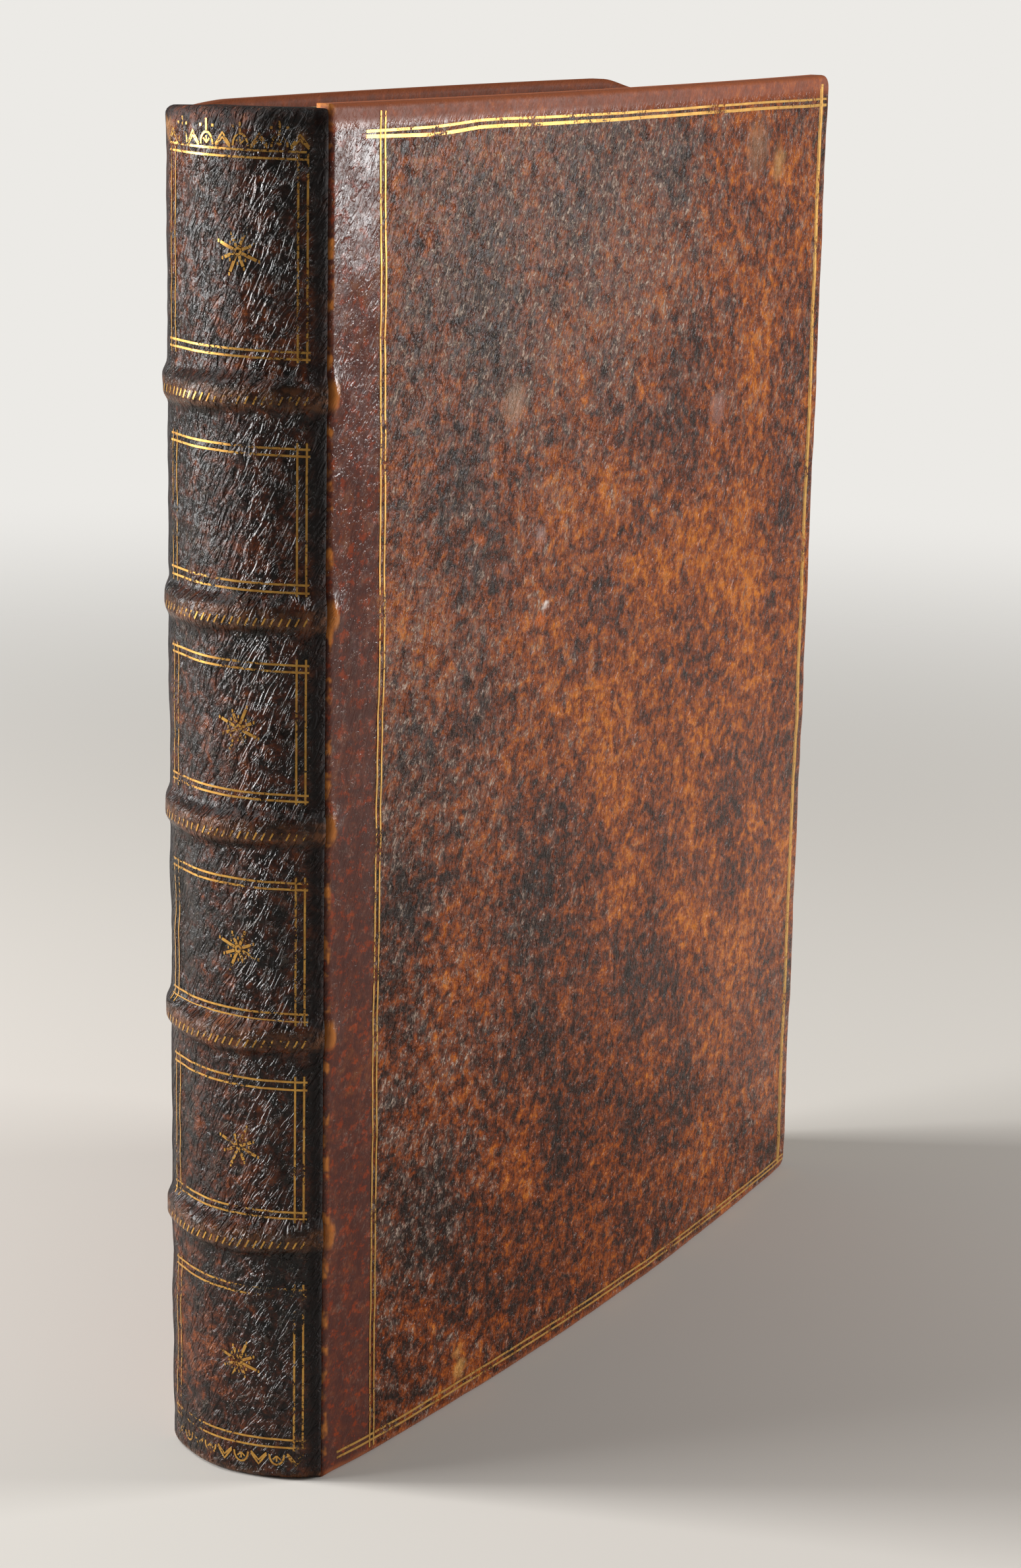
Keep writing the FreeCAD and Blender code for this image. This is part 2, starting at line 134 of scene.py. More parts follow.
def even_out(tree, value, low, high, start=0.0, end=1.0):
    """A socket that runs from start at low to end at high, in an even curve."""
    inputs = {"Value": value, "From Min": low, "From Max": high, "To Min": start, "To Max": end}
    return add_node(tree, "ShaderNodeMapRange", inputs, interpolation_type="SMOOTHSTEP").outputs["Result"]


def new_material(name):
    """An empty material with its Principled surface, ready for a pattern."""
    material = bpy.data.materials.new(name)
    material.use_nodes = True
    tree = material.node_tree
    return material, tree, tree.nodes["Principled BSDF"]


def soft_box(name, place, aim, side, power):
    """One soft box, a square lamp turned to what it lights."""
    lamp = bpy.data.lights.new(name, "AREA")
    lamp.shape = "RECTANGLE"
    lamp.size = side
    lamp.size_y = side
    lamp.energy = power
    holder = bpy.data.objects.new(name, lamp)
    turn = (Vector(aim) - Vector(place)).to_track_quat("-Z", "Y")
    holder.matrix_world = Matrix.Translation(place) @ turn.to_matrix().to_4x4()
    bpy.context.scene.collection.objects.link(holder)


for name, settings in SOFT_BOXES.items():
    soft_box(name, *settings)

room = bpy.data.worlds.new("room")
room.use_nodes = True
bpy.context.scene.world = room
room_tree = room.node_tree
room_light = room_tree.nodes["Background"]
room_light.inputs["Color"].default_value = linear(ROOM_COLOUR)
room_light.inputs["Strength"].default_value = ROOM_LIGHT
room_seen = add_node(room_tree, "ShaderNodeBackground", {"Color": linear(ROOM_COLOUR), "Strength": 1.0})
ray = add_node(room_tree, "ShaderNodeLightPath")
room_mix = add_node(room_tree, "ShaderNodeMixShader", {
    0: ray.outputs["Is Camera Ray"],
    1: room_light.outputs["Background"],
    2: room_seen.outputs["Background"],
})
room_tree.links.new(room_mix.outputs["Shader"], room_tree.nodes["World Output"].inputs["Surface"])

floor_mesh = bmesh.new()
bmesh.ops.create_circle(floor_mesh, cap_ends=True, segments=FLOOR_SIDES, radius=FLOOR_REACH)
floor_data = bpy.data.meshes.new("floor")
floor_mesh.to_mesh(floor_data)
floor_mesh.free()
floor = bpy.data.objects.new("floor", floor_data)
bpy.context.scene.collection.objects.link(floor)
floor_paper, floor_tree, floor_surface = new_material("seamless_paper")
floor_surface.inputs["Base Color"].default_value = linear(FLOOR_COLOUR)
floor_surface.inputs["Roughness"].default_value = 0.9
floor_surface.inputs["Specular IOR Level"].default_value = 0.1
floor_place = add_node(floor_tree, "ShaderNodeTexCoord").outputs["Object"]
floor_away = add_node(floor_tree, "ShaderNodeVectorMath",
                      {0: floor_place}, operation="LENGTH").outputs["Value"]
floor_gone = add_node(floor_tree, "ShaderNodeBsdfTransparent")
floor_mix = add_node(floor_tree, "ShaderNodeMixShader", {
    0: even_out(floor_tree, floor_away, FLOOR_FADE, FLOOR_REACH / 2),
    1: floor_surface.outputs["BSDF"],
    2: floor_gone.outputs["BSDF"],
})
floor_tree.links.new(floor_mix.outputs["Shader"], floor_tree.nodes["Material Output"].inputs["Surface"])
floor_data.materials.append(floor_paper)


# Text block: sewn gatherings of laid rag paper, rounded and backed. The edges
# were cut with a plough, and have browned where dust and light reach them.
MM = 0.001
LEAF_LINE = 0.9 * MM
LEAF_RUN = (0.02, 1.0, 0.03)
DUST_PATCH = 40 * MM


def reckon_vector(tree, operation, first, second):
    """The result of one sum on two vectors or sockets."""
    return add_node(tree, "ShaderNodeVectorMath", {0: first, 1: second}, operation=operation).outputs[0]


def object_place(tree):
    """Each point's place in the book, in metres."""
    return add_node(tree, "ShaderNodeTexCoord").outputs["Object"]


def cloud(tree, place, size, detail, roughness=0.6, distortion=0.0):
    """Soft noise with clouds of about this size, in the units of the place."""
    inputs = {"Vector": place, "Scale": 1 / size, "Detail": detail, "Roughness": roughness,
              "Distortion": distortion}
    return add_node(tree, "ShaderNodeTexNoise", inputs).outputs["Fac"]


def shade(tree, value, *stops):
    """The colour that a value from 0 to 1 picks between stops."""
    return add_node(tree, "ShaderNodeValToRGB", {"Fac": value}, stops=stops).outputs["Color"]


def stand_up(tree, height, strength, distance):
    """A relief from a height pattern."""
    inputs = {"Height": height, "Strength": strength, "Distance": distance}
    return add_node(tree, "ShaderNodeBump", inputs).outputs["Normal"]


def set_surface(tree, surface, colour, relief, roughness, specular):
    """Give a surface its colour, relief, roughness and share of mirror gloss."""
    tree.links.new(colour, surface.inputs["Base Color"])
    if relief:
        tree.links.new(relief, surface.inputs["Normal"])
    if isinstance(roughness, bpy.types.NodeSocket):
        tree.links.new(roughness, surface.inputs["Roughness"])
    else:
        surface.inputs["Roughness"].default_value = roughness
    surface.inputs["Specular IOR Level"].default_value = specular


def cut_paper_edges():
    """Cut edges of rag paper: fine dark and pale lines along the leaves, over dusty patches."""
    material, tree, surface = new_material("rag_paper_edges")
    place = object_place(tree)
    lines = cloud(tree, reckon_vector(tree, "MULTIPLY", place, LEAF_RUN), LEAF_LINE, 3.0, 0.7)
    tone = reckon(tree, "ADD", lines, cloud(tree, place, DUST_PATCH, 4.0, 0.5))
    tone = reckon(tree, "MULTIPLY", tone, 0.5)
    colour = shade(tree, tone, (0.36, "7d5e3c"), (0.5, "b99a6c"), (0.64, "d2bb90"))
    set_surface(tree, surface, colour, stand_up(tree, lines, 0.6, 0.2 * MM), 0.85, 0.2)
    return material


def dress(node, material):
    """Give a carried-over node its real material."""
    piece = frame["nodes"][node]
    piece.data.materials.clear()
    piece.data.materials.append(material)


dress("text_block", cut_paper_edges())


# Cords and lacing slips: two-ply hemp, its ends frayed out and pasted into the
# boards. It is pale, dull and ribbed by the twist.
CORD_COUNT = 5
CORD_TWIST = 1.3 * MM
TWIST_SLANT = math.radians(50)


def waves(tree, place, step, axis, **inputs):
    """Even bands along an axis, one every step."""
    inputs.update({"Vector": place, "Scale": 1 / step / (2 * math.pi)})
    bands = add_node(tree, "ShaderNodeTexWave", inputs, wave_type="BANDS", bands_direction=axis)
    return bands.outputs["Fac"]


def twisted_hemp():
    """Hemp: slanting ribs of the twist, tan with darker hollows."""
    material, tree, surface = new_material("twisted_hemp")
    twist = add_node(tree, "ShaderNodeMapping",
                     {"Vector": object_place(tree), "Rotation": (TWIST_SLANT, 0, 0)})
    ribs = waves(tree, twist.outputs["Vector"], CORD_TWIST / 2, "Z", Distortion=1.5, Detail=2.0)
    colour = shade(tree, ribs, (0.1, "6f5636"), (0.6, "a88c5e"))
    set_surface(tree, surface, colour, stand_up(tree, ribs, 0.8, 0.4 * MM), 0.9, 0.15)
    return material


hemp = twisted_hemp()
for place in range(1, CORD_COUNT + 1):
    dress(f"band_cord_{place}", hemp)
for cover in ("front", "rear"):
    dress(f"{cover}_lacing_slips", hemp)


# Linings, endpapers and pastedowns: laid paper, and paper pasted to the back
# between the cords. It has gone cream, with browned margins and a few fox marks.
LAID_STEP = 1.1 * MM
BROWN_CLOUD = 1 / 18
FOX_MARK = 1 / 170


def blend_colour(tree, share, first, second):
    """The first colour, with a share of the second over it."""
    node = add_node(tree, "ShaderNodeMix", {0: share, 6: first, 7: second}, data_type="RGBA")
    return node.outputs[2]


def laid_paper(name, pale, brown, foxed):
    """Laid paper: faint close wire lines, cloudy browning and small rusty marks."""
    material, tree, surface = new_material(name)
    place = object_place(tree)
    wires = waves(tree, place, LAID_STEP, "Z", Distortion=0.4)
    colour = shade(tree, cloud(tree, place, BROWN_CLOUD, 5.0, 0.5), (0.35, brown), (0.6, pale))
    rusty = even_out(tree, cloud(tree, place, FOX_MARK, 2.0, 0.5), 0.66, 0.74, 0.0, foxed)
    marked = blend_colour(tree, rusty, colour, linear("9a6a3c"))
    set_surface(tree, surface, marked, stand_up(tree, wires, 0.15, 0.05 * MM), 0.85, 0.2)
    return material


endpaper = laid_paper("laid_endpaper", "dccba4", "bfa679", 0.6)
lining_paper = laid_paper("waste_paper", "cdbb93", "a98f63", 0.3)
for place in range(1, CORD_COUNT + 2):
    dress(f"spine_lining_{place}", lining_paper)
for cover in ("front", "rear"):
    dress(f"{cover}_pastedown", endpaper)
    dress(f"{cover}_free_endpaper", endpaper)


# Boards: pasteboard, made of sheets of waste paper pasted and pressed together. It
# is a dull grey-brown, with its layers seen at the edge.
LAYER_RUN = (0.1, 1.0, 0.1)
BOARD_LAYER = 1 / 2200


def pasted_board():
    """Pasteboard: grey-brown fibres in thin layers."""
    material, tree, surface = new_material("pasteboard")
    layered = reckon_vector(tree, "MULTIPLY", object_place(tree), LAYER_RUN)
    layers = cloud(tree, layered, BOARD_LAYER, 3.0, 0.5)
    colour = shade(tree, layers, (0.35, "6f604c"), (0.65, "a09074"))
    set_surface(tree, surface, colour, None, 0.9, 0.15)
    return material


pasteboard = pasted_board()
dress("front_board", pasteboard)


# Headbands: a rolled core worked over with silk in two colours, now faded. The
# turns of thread give it fine ribs and a little sheen.
SILK_STEP = 1.5 * MM
HEADBAND_SIZE = 1.3 * MM
HEADBAND_RINGS = 40
HEADBAND_SIDES = 10


def keep_piece(bm, name, material, body, nodes=()):
    """Turn a finished bmesh into a smooth piece that rides on its body."""
    data = bpy.data.meshes.new(name)
    bm.to_mesh(data)
    bm.free()
    data.shade_smooth()
    data.materials.append(material)
    piece = bpy.data.objects.new(name, data)
    bpy.context.scene.collection.objects.link(piece)
    if body:
        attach(piece, body)
    if nodes:
        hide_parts(*nodes)
    return piece


def striped_silk():
    """Worked silk: bands of faded blue and cream, as wide as three turns of thread."""
    material, tree, surface = new_material("striped_silk")
    place = object_place(tree)
    threads = waves(tree, place, SILK_STEP / 3, "Y", Distortion=0.6)
    colour = shade(tree, waves(tree, place, SILK_STEP, "Y"), (0.45, "3e5468"), (0.55, "c4b58f"))
    set_surface(tree, surface, colour, stand_up(tree, threads, 0.7, 0.2 * MM), 0.6, 0.3)
    return material


def make_headband(node, level):
    """A thin round roll that follows the back of the leaves under a cap."""
    low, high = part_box(node)
    half = (high.y - low.y) / 2
    sag = high.x - low.x - (high.z - low.z)
    radius = (half ** 2 + sag ** 2) / (2 * sag)
    thick = HEADBAND_SIZE / 2
    bm = bmesh.new()
    rings = []
    for place in range(HEADBAND_RINGS + 1):
        turn = math.asin(half / radius) * (place / (HEADBAND_RINGS / 2) - 1)
        ring = []
        for corner in range(HEADBAND_SIDES):
            angle = math.pi * 2 * corner / HEADBAND_SIDES
            reach = radius + thick * math.cos(angle)
            x = low.x + radius + thick - reach * math.cos(turn)
            ring.append(bm.verts.new((x, reach * math.sin(turn), level + thick * math.sin(angle))))
        rings.append(ring)
    for first, second in zip(rings, rings[1:]):
        for corner in range(HEADBAND_SIDES):
            after = (corner + 1) % HEADBAND_SIDES
            bm.faces.new((first[corner], first[after], second[after], second[corner]))
    bm.faces.new(rings[0])
    bm.faces.new(reversed(rings[-1]))
    bmesh.ops.recalc_face_normals(bm, faces=bm.faces)
    return bm


silk = striped_silk()
head_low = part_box("headband")[0].z
tail_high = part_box("tailband")[1].z
head_roll = make_headband("headband", head_low + HEADBAND_SIZE / 2)
keep_piece(head_roll, "worked_headband", silk, "book_block", ["headband"])
tail_roll = make_headband("tailband", tail_high - HEADBAND_SIZE / 2)
keep_piece(tail_roll, "worked_tailband", silk, "book_block", ["tailband"])


# Calf: one skin over boards and spine. It was mottled with iron and ash, glazed
# with egg and polished. The glaze has crackled into short curled flakes.
joint_y = abs(hinge_place.y)
cover_low, cover_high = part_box("front_cover_leather")
book_height = cover_high.z
fore_x = cover_high.x
cover_width = fore_x - joint_x
cord_heights = [sum(corner.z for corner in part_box(f"band_cord_{place}")) / 2
                for place in range(1, CORD_COUNT + 1)]
cord_pitch = (cord_heights[-1] - cord_heights[0]) / (CORD_COUNT - 1)

# Crackle strokes: lean in degrees, length and width in millimetres, and how much of
# the noise about its middle a stroke takes up
FLAKE_STROKES = ((50, 4.2, 1.05, 0.042), (75, 3.6, 0.90, 0.034))
CREASE_STROKE = (64, 5.5, 1.4, 0.13)

# Which way the strokes lean along the girth, and how coarse they are
BOARD_CRACKLE = (1, 1.0)
SPINE_CRACKLE = (-1, 1.45)

# Noise at which each of the five tones is full, from iron black to bare tan
TONE_STEPS = (0.31, 0.41, 0.50, 0.60, 0.73)

# Girths and heights in millimetres at which a change sets in and is full: the smooth strip
# and head edge, the rubbed ridge, the shoulder's painted shade and dullness, and the dull cap
STRIP_FADE = (15.4, 13.2)
HEAD_FADE = (262.6, 264.2)
RIDGE_FADE = (1.5, 0.4)
SHOULDER_SHADE_FADE = (15.8, 18.2)
SHOULDER_DULL = (16.8, 18.0)
CAP_DULL = (264.0, 265.5)

# The same for the rubbing of the lowest and of the highest band
BOARD_RUBBING = ((35.0, 45.0), (235.0, 225.0))
SPINE_RUBBING = ((35.0, 39.0), (233.0, 229.0))

BARE_TAN = "b46e30"
EDGE_TAN = "8e4c2a"
HEAD_TAN = "8a4a30"
STRIP_DARK = "4a2a24"
STRIP_RED = "7c321a"
# Painted shade: the near black laid over both shoulders of the spine
SHOULDER_PAINTED_SHADE = "0e0504"
HANDLED_BROWN = "6c4224"
BOARD_GLOSS = 0.2
SPINE_GLOSS = 0.26


def times(tree, first, *others):
    """The product of values or sockets."""
    for other in others:
        first = reckon(tree, "MULTIPLY", first, other)
    return first


def sway(tree, value, noise_value, weight):
    """A value moved up and down by noise."""
    return reckon(tree, "MULTIPLY_ADD", reckon(tree, "SUBTRACT", noise_value, 0.5), weight, value)


def falloff(tree, place, x, z, reach):
    """1 at a spot of the skin, falling to 0 at reach from it."""
    away = add_node(tree, "ShaderNodeVectorMath", {0: place, 1: (x, z, 0.0)}, operation="DISTANCE")
    return even_out(tree, away.outputs["Value"], reach, 0.0)


def add_zones(tree, value, skin, zones):
    """A value raised or lowered in round zones of the skin."""
    for x, z, reach, weight in zones:
        value = reckon(tree, "MULTIPLY_ADD", falloff(tree, skin, x, z, reach), weight, value)
    return value


def curled_strokes(tree, place, stroke, way, coarse):
    """Short thin curved strokes as ridges of 0 to 1, leaning to one way."""
    lean, length, width, thin = stroke
    leaned = add_node(tree, "ShaderNodeMapping", {
        "Vector": place, "Rotation": (0, 0, math.radians(lean * way)),
        "Scale": (length * coarse, width * coarse, width * coarse)}, vector_type="TEXTURE")
    curled = cloud(tree, leaned.outputs["Vector"], 1.0, 2.0, 0.55, 0.6)
    off = reckon(tree, "ABSOLUTE", reckon(tree, "SUBTRACT", curled, 0.5))
    return even_out(tree, off, thin, thin * 0.25)


def mottle(tree, grain, skin, tones, zones):
    """The mottled ground of the calf, in clouds of three sizes and in paler or darker zones, some of them
    painted light and shade.
    """
    tone = cloud(tree, grain, 3.0, 6.0, 0.66, 0.4)
    tone = sway(tree, tone, cloud(tree, grain, 30.0, 2.0), 0.55)
    tone = sway(tree, tone, cloud(tree, grain, 0.9, 2.0), 0.35)
    tone = add_zones(tree, tone, skin, zones)
    return shade(tree, tone, *zip(TONE_STEPS, tones))


def smooth_border(tree, colour, grain, girth, height):
    """The strip beside the joint and the head edge are smooth red-brown leather with few flecks.
    Gives their colour, and how much crackle is left."""
    strip = even_out(tree, girth, *STRIP_FADE)
    head = even_out(tree, height, *HEAD_FADE)
    calm = reckon(tree, "MULTIPLY_ADD", reckon(tree, "MAXIMUM", strip, head), -0.85, 1.0)
    flecks = even_out(tree, cloud(tree, grain, 2.6, 4.0, 0.7), 0.52, 0.64)
    strip_colour = blend_colour(tree, flecks, linear(STRIP_DARK), linear(STRIP_RED))
    colour = blend_colour(tree, times(tree, strip, 0.82), colour, strip_colour)
    return blend_colour(tree, times(tree, head, 0.6), colour, linear(HEAD_TAN)), calm


def over_cords(tree, height, outer, inner, ends):
    """1 over each cord, falling to 0 at outer millimetres from it, and fading at the end bands."""
    pitch = cord_pitch / MM
    start = (cord_heights[0] - cord_pitch / 2) / MM
    across = reckon(tree, "FRACT", reckon(tree, "DIVIDE", reckon(tree, "SUBTRACT", height, start), pitch))
    away = times(tree, reckon(tree, "ABSOLUTE", reckon(tree, "SUBTRACT", across, 0.5)), pitch)
    low, high = ends
    return times(tree, even_out(tree, away, outer, inner), even_out(tree, height, *high),
                 even_out(tree, height, *low))


def rub_board(tree, colour, grain, girth, height):
    """Bare tan leather, broken along the joint ridge, over the laced cords and round the edges."""
    worn = even_out(tree, cloud(tree, grain, 7.0, 3.0, 0.7), 0.50, 0.62)
    ridge = times(tree, even_out(tree, girth, *RIDGE_FADE), worn)
    ragged = sway(tree, girth, cloud(tree, grain, 3.0, 3.0), 3.0)
    laced = times(tree, over_cords(tree, height, 3.6, 1.4, BOARD_RUBBING), even_out(tree, ragged, 2.6, 1.2))
    uneven = cloud(tree, grain, 5.0, 3.0)
    far = sway(tree, girth, uneven, 1.6)
    low = sway(tree, height, uneven, 1.6)
    wide = cover_width / MM
    tall = book_height / MM
    edge = reckon(tree, "MAXIMUM", even_out(tree, far, wide - 1.8, wide - 0.5), even_out(tree, low, 1.8, 0.6))
    edge = reckon(tree, "MAXIMUM", edge, even_out(tree, low, tall - 1.2, tall - 0.3))
    colour = blend_colour(tree, times(tree, edge, 0.75), colour, linear(EDGE_TAN))
    rubbed = reckon(tree, "MAXIMUM", ridge, times(tree, laced, 0.7))
    return blend_colour(tree, rubbed, colour, linear(BARE_TAN))


def rub_and_shade_spine(tree, colour, grain, girth, height):
    """Shoulders darkened to black as painted shade, and brown where hands have rubbed the crests of the bands
    and the tail.
    """
    shoulder = even_out(tree, reckon(tree, "ABSOLUTE", girth), *SHOULDER_SHADE_FADE, 0.0, 0.85)
    colour = blend_colour(tree, shoulder, colour, linear(SHOULDER_PAINTED_SHADE))
    handled = even_out(tree, cloud(tree, grain, 2.2, 3.0, 0.7), 0.40, 0.62, 0.1, 0.65)
    crest = over_cords(tree, height, 3.0, 1.2, SPINE_RUBBING)
    crest = reckon(tree, "MAXIMUM", crest, even_out(tree, height, 2.4, 0.8))
    return blend_colour(tree, times(tree, crest, handled), colour, linear(HANDLED_BROWN))


def add_marks(tree, colour, grain, skin, marks):
    """Single scuffs, bare spots and a crack, each with a ragged outline."""
    bent = add_node(tree, "ShaderNodeTexNoise", {"Vector": grain, "Scale": 1 / 2.5, "Detail": 2.0})
    nudge = reckon_vector(tree, "SUBTRACT", bent.outputs["Color"], (0.5, 0.5, 0.5))
    ragged = reckon_vector(tree, "ADD", skin, reckon_vector(tree, "MULTIPLY", nudge, (5, 5, 0)))
    for x, z, reach, tint, strength in marks:
        seen = times(tree, falloff(tree, ragged, x, z, reach), strength)
        colour = blend_colour(tree, seen, colour, linear(tint))
    return colour


def calf(name, tones, film_sheen, flake_glint, start, gleam, bump, tone_and_shade_zones=(), film_sheen_zones=(), marks=(),
         on_board=True):
    """Crackled calf. Tones run from iron black to bare tan. The film colour is the grey of the dulled glaze
    with painted sheen of the lamps in it, and the flake colour the pale curl of its cracks, partly
    painted glints of light on their edges. Start picks a stretch of the grain, gleam says how much of
    film and flakes shows, and bump how many millimetres the crackle stands up. The skin attribute
    holds each point's girth and height on the skin in millimetres."""
    material, tree, surface = new_material(name)
    skin = add_node(tree, "ShaderNodeAttribute", attribute_name="skin").outputs["Vector"]
    grain = reckon_vector(tree, "ADD", skin, (start, start / 3, 0))
    parts = add_node(tree, "ShaderNodeSeparateXYZ", {0: skin})
    girth = parts.outputs["X"]
    height = parts.outputs["Y"]

    colour = mottle(tree, grain, skin, tones, tone_and_shade_zones)
    dulled_and_sheen = add_zones(tree, cloud(tree, grain, 6.0, 5.0, 0.7, 0.5), skin, film_sheen_zones)
    patchy = even_out(tree, cloud(tree, grain, 1.3, 3.0, 0.7), 0.38, 0.58, 0.25, 1.0)
    dull_and_sheen = times(tree, even_out(tree, dulled_and_sheen, 0.50, 0.68), patchy)
    way, coarse = BOARD_CRACKLE if on_board else SPINE_CRACKLE
    first, second = (curled_strokes(tree, grain, stroke, way, coarse) for stroke in FLAKE_STROKES)
    broken = even_out(tree, cloud(tree, grain, 1.8, 2.0), 0.46, 0.56)
    flakes = times(tree, reckon(tree, "MAXIMUM", first, second), broken)
    creases = curled_strokes(tree, grain, CREASE_STROKE, way, coarse)
    calm = 1.0
    if on_board:
        colour, calm = smooth_border(tree, colour, grain, girth, height)
    flakes = times(tree, flakes, calm)
    creases = times(tree, creases, calm)
    crust = times(tree, cloud(tree, grain, 0.8, 4.0, 0.7), calm)

    # A share of the grey film over the tone: the dulled glaze, with painted sheen where the lamps gleam on it
    colour = blend_colour(tree, times(tree, dull_and_sheen, 0.5 * gleam, calm), colour, linear(film_sheen))
    # The pale flake colour on the crackle strokes: the curled glaze edges, with painted glints of light on
    # them
    painted_glints = times(tree, flakes, even_out(tree, dulled_and_sheen, 0.44, 0.70, 0.06 * gleam, 0.85 * gleam))
    colour = blend_colour(tree, painted_glints, colour, linear(flake_glint))
    rub_and_shade = rub_board if on_board else rub_and_shade_spine
    colour = rub_and_shade(tree, colour, grain, girth, height)
    colour = add_marks(tree, colour, grain, skin, marks)

    ridges = reckon(tree, "MULTIPLY_ADD", flakes, 0.8, times(tree, crust, 0.5))
    ridges = reckon(tree, "MULTIPLY_ADD", creases, 0.7, ridges)
    relief = stand_up(tree, ridges, 0.8, bump * MM)
    matt = reckon(tree, "MULTIPLY_ADD", dull_and_sheen, 0.14, reckon(tree, "MULTIPLY_ADD", crust, 0.25, 0.15))
    matt = reckon(tree, "MULTIPLY_ADD", even_out(tree, height, *CAP_DULL), 0.35, matt)
    if not on_board:
        shoulder = even_out(tree, reckon(tree, "ABSOLUTE", girth), *SHOULDER_DULL)
        matt = reckon(tree, "MULTIPLY_ADD", shoulder, 0.4, matt)
    set_surface(tree, surface, colour, relief, matt, BOARD_GLOSS if on_board else SPINE_GLOSS)
    return material


# Millimetres from the joint ridge and from the tail, reach in millimetres and weight
# Most tone zones place darker and more orange mottle; the one low in the middle darkens the lower cover as
# painted shade, and the one at the top right lightens the head as painted light
FRONT_TONE_AND_SHADE_ZONES = [
    (150, 130, 110, 0.07), (85, 175, 40, 0.06), (60, 245, 70, -0.02), (22, 120, 45, -0.06),
    (25, 40, 45, -0.07), (175, 235, 60, 0.05), (100, 60, 90, -0.04), (170, 60, 60, 0.03)]
# Film zones place the grey film, dulled glaze with painted sheen: most at the head and beside the joint,
# least low towards the fore-edge
FRONT_FILM_SHEEN_ZONES = [
    (60, 245, 80, 0.15), (22, 150, 60, 0.09), (25, 60, 55, 0.07), (112, 238, 50, 0.13),
    (150, 110, 100, -0.14), (90, 30, 70, -0.12)]

# The same with a colour and its strength, for bare spots, scuffs and worn corners
FRONT_MARKS = [
    (47.7, 182.9, 2.2, "b4560f", 0.8), (70.3, 163.0, 2.6, "bd5a0c", 0.9),
    (59.1, 208.3, 6.5, "a5836c", 0.7), (69.6, 180.8, 3.2, "9c7f78", 0.7),
    (148.1, 197.5, 5.5, "a07468", 0.6), (72.7, 165.6, 1.6, "d9cfc8", 0.9),
    (165.0, 253.5, 9.0, "8a6247", 0.8), (177.5, 249.5, 5.5, "a87a48", 0.9),
    (45.5, 7.5, 3.0, "c08a4a", 0.9), (44.5, 11.5, 2.2, "b57c42", 0.8)]
BOARD_TONES = ["180a05", "381606", "612808", "8a4009", "b8660d"]
# Film: grey of the dulled glaze with painted sheen over it. Flake: pale curl of the cracks with painted
# glints
BOARD_FILM_SHEEN = "54423a"
BOARD_FLAKE_GLINT = "b09c8c"
BOARD_BUMP = 0.32
REAR_START = 700.0
FRONT_GLEAM = 1.0
REAR_GLEAM = 0.8

front_calf = calf("front_mottled_calf", BOARD_TONES, BOARD_FILM_SHEEN, BOARD_FLAKE_GLINT, 0.0, FRONT_GLEAM,
                  BOARD_BUMP, FRONT_TONE_AND_SHADE_ZONES, FRONT_FILM_SHEEN_ZONES, FRONT_MARKS)
rear_calf = calf("rear_mottled_calf", BOARD_TONES, BOARD_FILM_SHEEN, BOARD_FLAKE_GLINT, REAR_START, REAR_GLEAM,
                 BOARD_BUMP)


# Cover leather: the calf wrapped over each board and turned in round its edges. It is
# dented, dips beside the joint and stands up over the laced cords.
TURN_IN = 15 * MM
COVER_THICKNESS = 3.9 * MM
CALF_THICKNESS = 0.9 * MM
EDGE_ROUND = 1.1 * MM
CORNER_ROUND = 3.0 * MM
COVER_STEP = 1.5 * MM
BOARD_STEP = 5 * MM
BOARD_ROOM = 0.1 * MM
TINY = 1e-6

# Dents and swells of old leather: size of the waves, depth, and what is added to the seed
BROAD_DENT = (23 * MM, 0.28 * MM, 0)
SMALL_DENT = (6 * MM, 0.12 * MM, 3)

# The leather dips beside the joint ridge, and never deeper than the board under it
HOLLOW_DEPTH = 0.55 * MM
HOLLOW_START = 0.5 * MM
HOLLOW_END = 13 * MM
DEEPEST_DIP = -0.65 * MM

# Swelling over a laced cord: its rise, its place from the ridge, and its spread
LUMP_RISE = 0.8 * MM
LUMP_PLACE = 1.6 * MM
LUMP_ACROSS = 2.2 * MM
LUMP_ALONG = 3.0 * MM

# How far the rear board has worn down at its head: all along, more beside the joint
# and most at its outer corner, fading out below
HEAD_DROP = 1.2
JOINT_DROP = 1.0
JOINT_DROP_END = 20
CORNER_DROP = 2.6
CORNER_DROP_SPAN = (165, 182)
DROP_FADE = 40 * MM
DROP_FULL = 2 * MM

# Seed of the dents on each side
SEEDS = {-1: 2.0, 1: 9.0}

cover_bow = abs(cover_low.y) - joint_y
bow_radius = (cover_width ** 2 / 4 + cover_bow ** 2) / (2 * cover_bow)


def bow_at(x):
    """How far a cover stands out at x beyond the flat through its joint and its fore-edge."""
    reach = abs(x - (joint_x + fore_x) / 2)
    return math.sqrt(max(bow_radius ** 2 - reach ** 2, 0.0)) - (bow_radius - cover_bow)


def ease(value, low, high):
    """0 below low, 1 above high and an even curve between them."""
    share = min(max((value - low) / (high - low), 0.0), 1.0)
    return share * share * (3 - 2 * share)


def thicken(piece, thickness):
    """Give a skin its thickness, inwards from the face that shows."""
    skin = piece.modifiers.new("thickness", "SOLIDIFY")
    skin.thickness = thickness
    skin.offset = -1


def slice_along(bm, axis, first, last, step):
    """Cut a shape into even strips, so that it can bend."""
    count = round((last - first) / step)
    for place in range(1, count):
        point = Vector((0, 0, 0))
        point[axis] = first + (last - first) * place / count
        normal = Vector((0, 0, 0))
        normal[axis] = 1
        bmesh.ops.bisect_plane(bm, geom=bm.verts[:] + bm.edges[:] + bm.faces[:],
                               plane_co=point, plane_no=normal, dist=1e-7)


